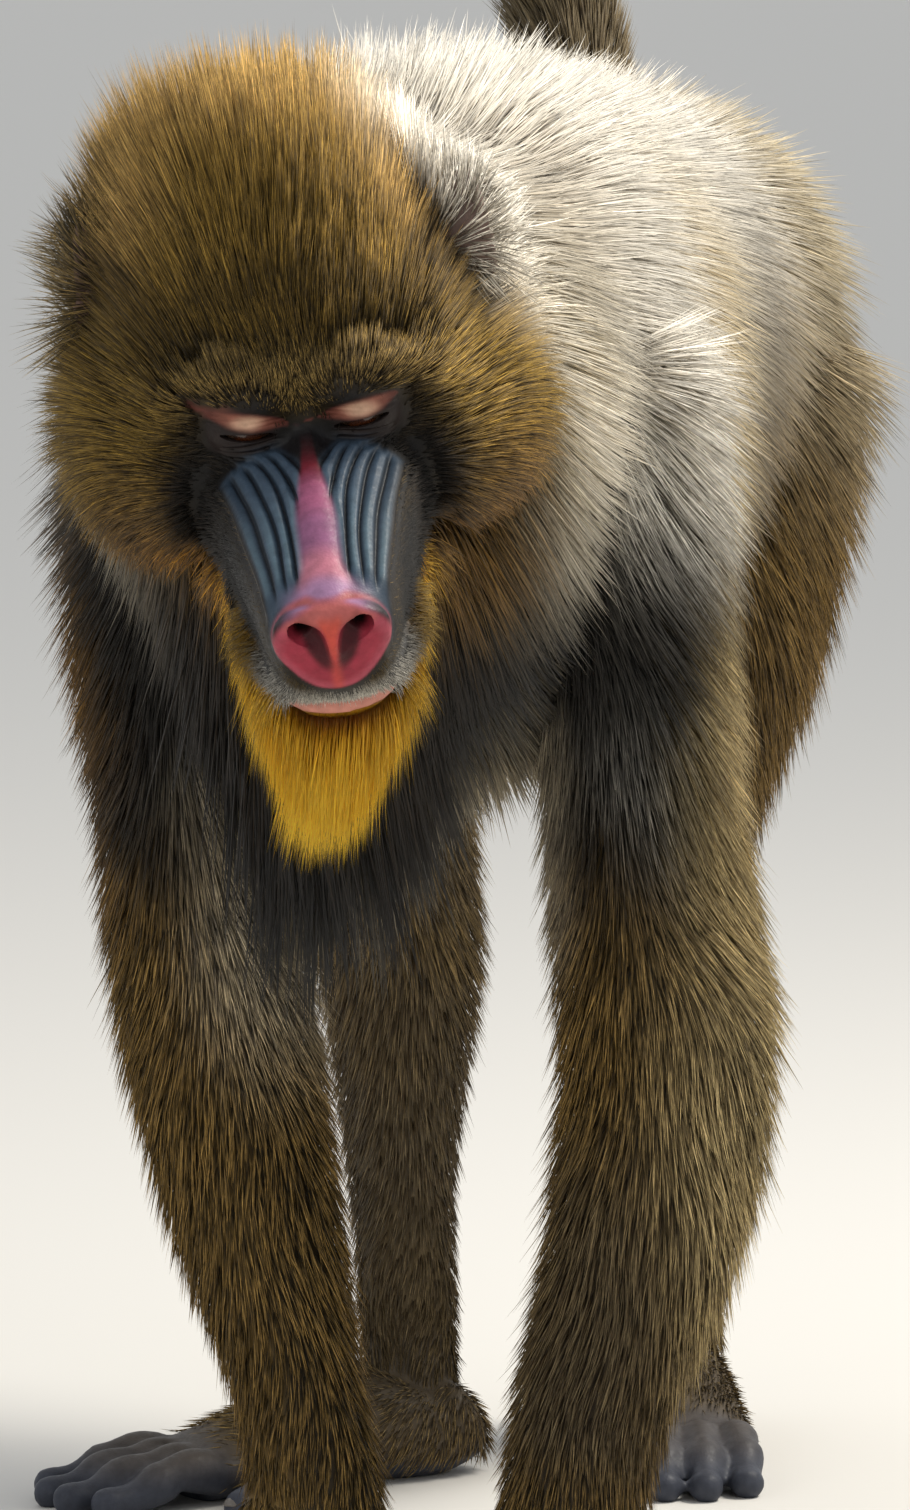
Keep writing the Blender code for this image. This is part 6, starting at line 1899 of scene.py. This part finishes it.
class MANDRILL_OT_stage(bpy.types.Operator):
    """Lay the floor, hang the lights and set the camera"""

    bl_idname = "mandrill.stage"
    bl_label = "Stage"

    def execute(self, context):
        settings = context.scene.mandrill_stage
        bpy.ops.object.select_all(action="DESELECT")
        bpy.ops.mesh.primitive_plane_add(size=FLOOR_SIZE, location=(0, 0, 0))
        floor = bpy.context.object
        floor.name = "floor"
        wear(floor, floor_material(settings.floor))
        world = bpy.data.worlds.new("surroundings")
        world.use_nodes = True
        world.node_tree.nodes["Background"].inputs[0].default_value = SKY_COLOUR
        world.node_tree.nodes["Background"].inputs[1].default_value = settings.sky
        context.scene.world = world
        for name, (spot, size, colour) in LAMPS.items():
            bpy.ops.object.light_add(type="AREA", location=spot)
            lamp = bpy.context.object
            lamp.name = name
            lamp.data.energy = getattr(settings, name)
            lamp.data.size = size
            lamp.data.color = colour
            lamp.rotation_euler = (lamp.location - body_point(*LAMP_AIM)).to_track_quat("Z", "Y").to_euler()
        across = math.cos(CAMERA_ELEVATION)
        away = Vector((math.sin(CAMERA_AZIMUTH) * across, -math.cos(CAMERA_AZIMUTH) * across,
                       math.sin(CAMERA_ELEVATION)))
        bpy.ops.object.camera_add(location=Vector(CAMERA_TARGET) + SHIFT + away * CAMERA_DISTANCE)
        camera = bpy.context.object
        camera.rotation_euler = away.to_track_quat("Z", "Y").to_euler()
        camera.data.sensor_fit = "VERTICAL"
        camera.data.sensor_height = SENSOR
        camera.data.lens = SENSOR * PHOTO_FOCAL / PHOTO_HEIGHT
        camera.data.clip_end = 60.0
        context.scene.camera = camera
        context.scene.view_settings.view_transform = "Standard"
        return {"FINISHED"}


class MANDRILL_PT_panel(bpy.types.Panel):
    """Everything that builds the mandrill"""

    bl_label = "Mandrill"
    bl_idname = "MANDRILL_PT_panel"
    bl_space_type = "VIEW_3D"
    bl_region_type = "UI"
    bl_category = "Mandrill"

    def draw(self, context):
        for operator in OPERATORS:
            self.layout.operator(operator.bl_idname)
        for name in GROUPS:
            settings = getattr(context.scene, name)
            box = self.layout.box()
            for key in settings.bl_rna.properties.keys():
                if key not in ("rna_type", "name"):
                    box.prop(settings, key)


OPERATORS = (MANDRILL_OT_skin, MANDRILL_OT_eyes, MANDRILL_OT_nails, MANDRILL_OT_coat, MANDRILL_OT_stage)
GROUPS = {"mandrill_skin": MandrillSkin, "mandrill_eyes": MandrillEyes, "mandrill_coat": MandrillCoat,
          "mandrill_stage": MandrillStage}


def register():
    for group in GROUPS.values():
        bpy.utils.register_class(group)
    for name, group in GROUPS.items():
        setattr(bpy.types.Scene, name, PointerProperty(type=group))
    for operator in OPERATORS:
        bpy.utils.register_class(operator)
    bpy.utils.register_class(MANDRILL_PT_panel)


def unregister():
    bpy.utils.unregister_class(MANDRILL_PT_panel)
    for operator in reversed(OPERATORS):
        bpy.utils.unregister_class(operator)
    for name, group in GROUPS.items():
        delattr(bpy.types.Scene, name)
        bpy.utils.unregister_class(group)


def main():
    register()
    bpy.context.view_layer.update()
    bpy.ops.mandrill.stage()
    bpy.ops.mandrill.skin()
    bpy.ops.mandrill.eyes()
    bpy.ops.mandrill.nails()
    bpy.ops.mandrill.coat()


if __name__ == "__main__":
    main()
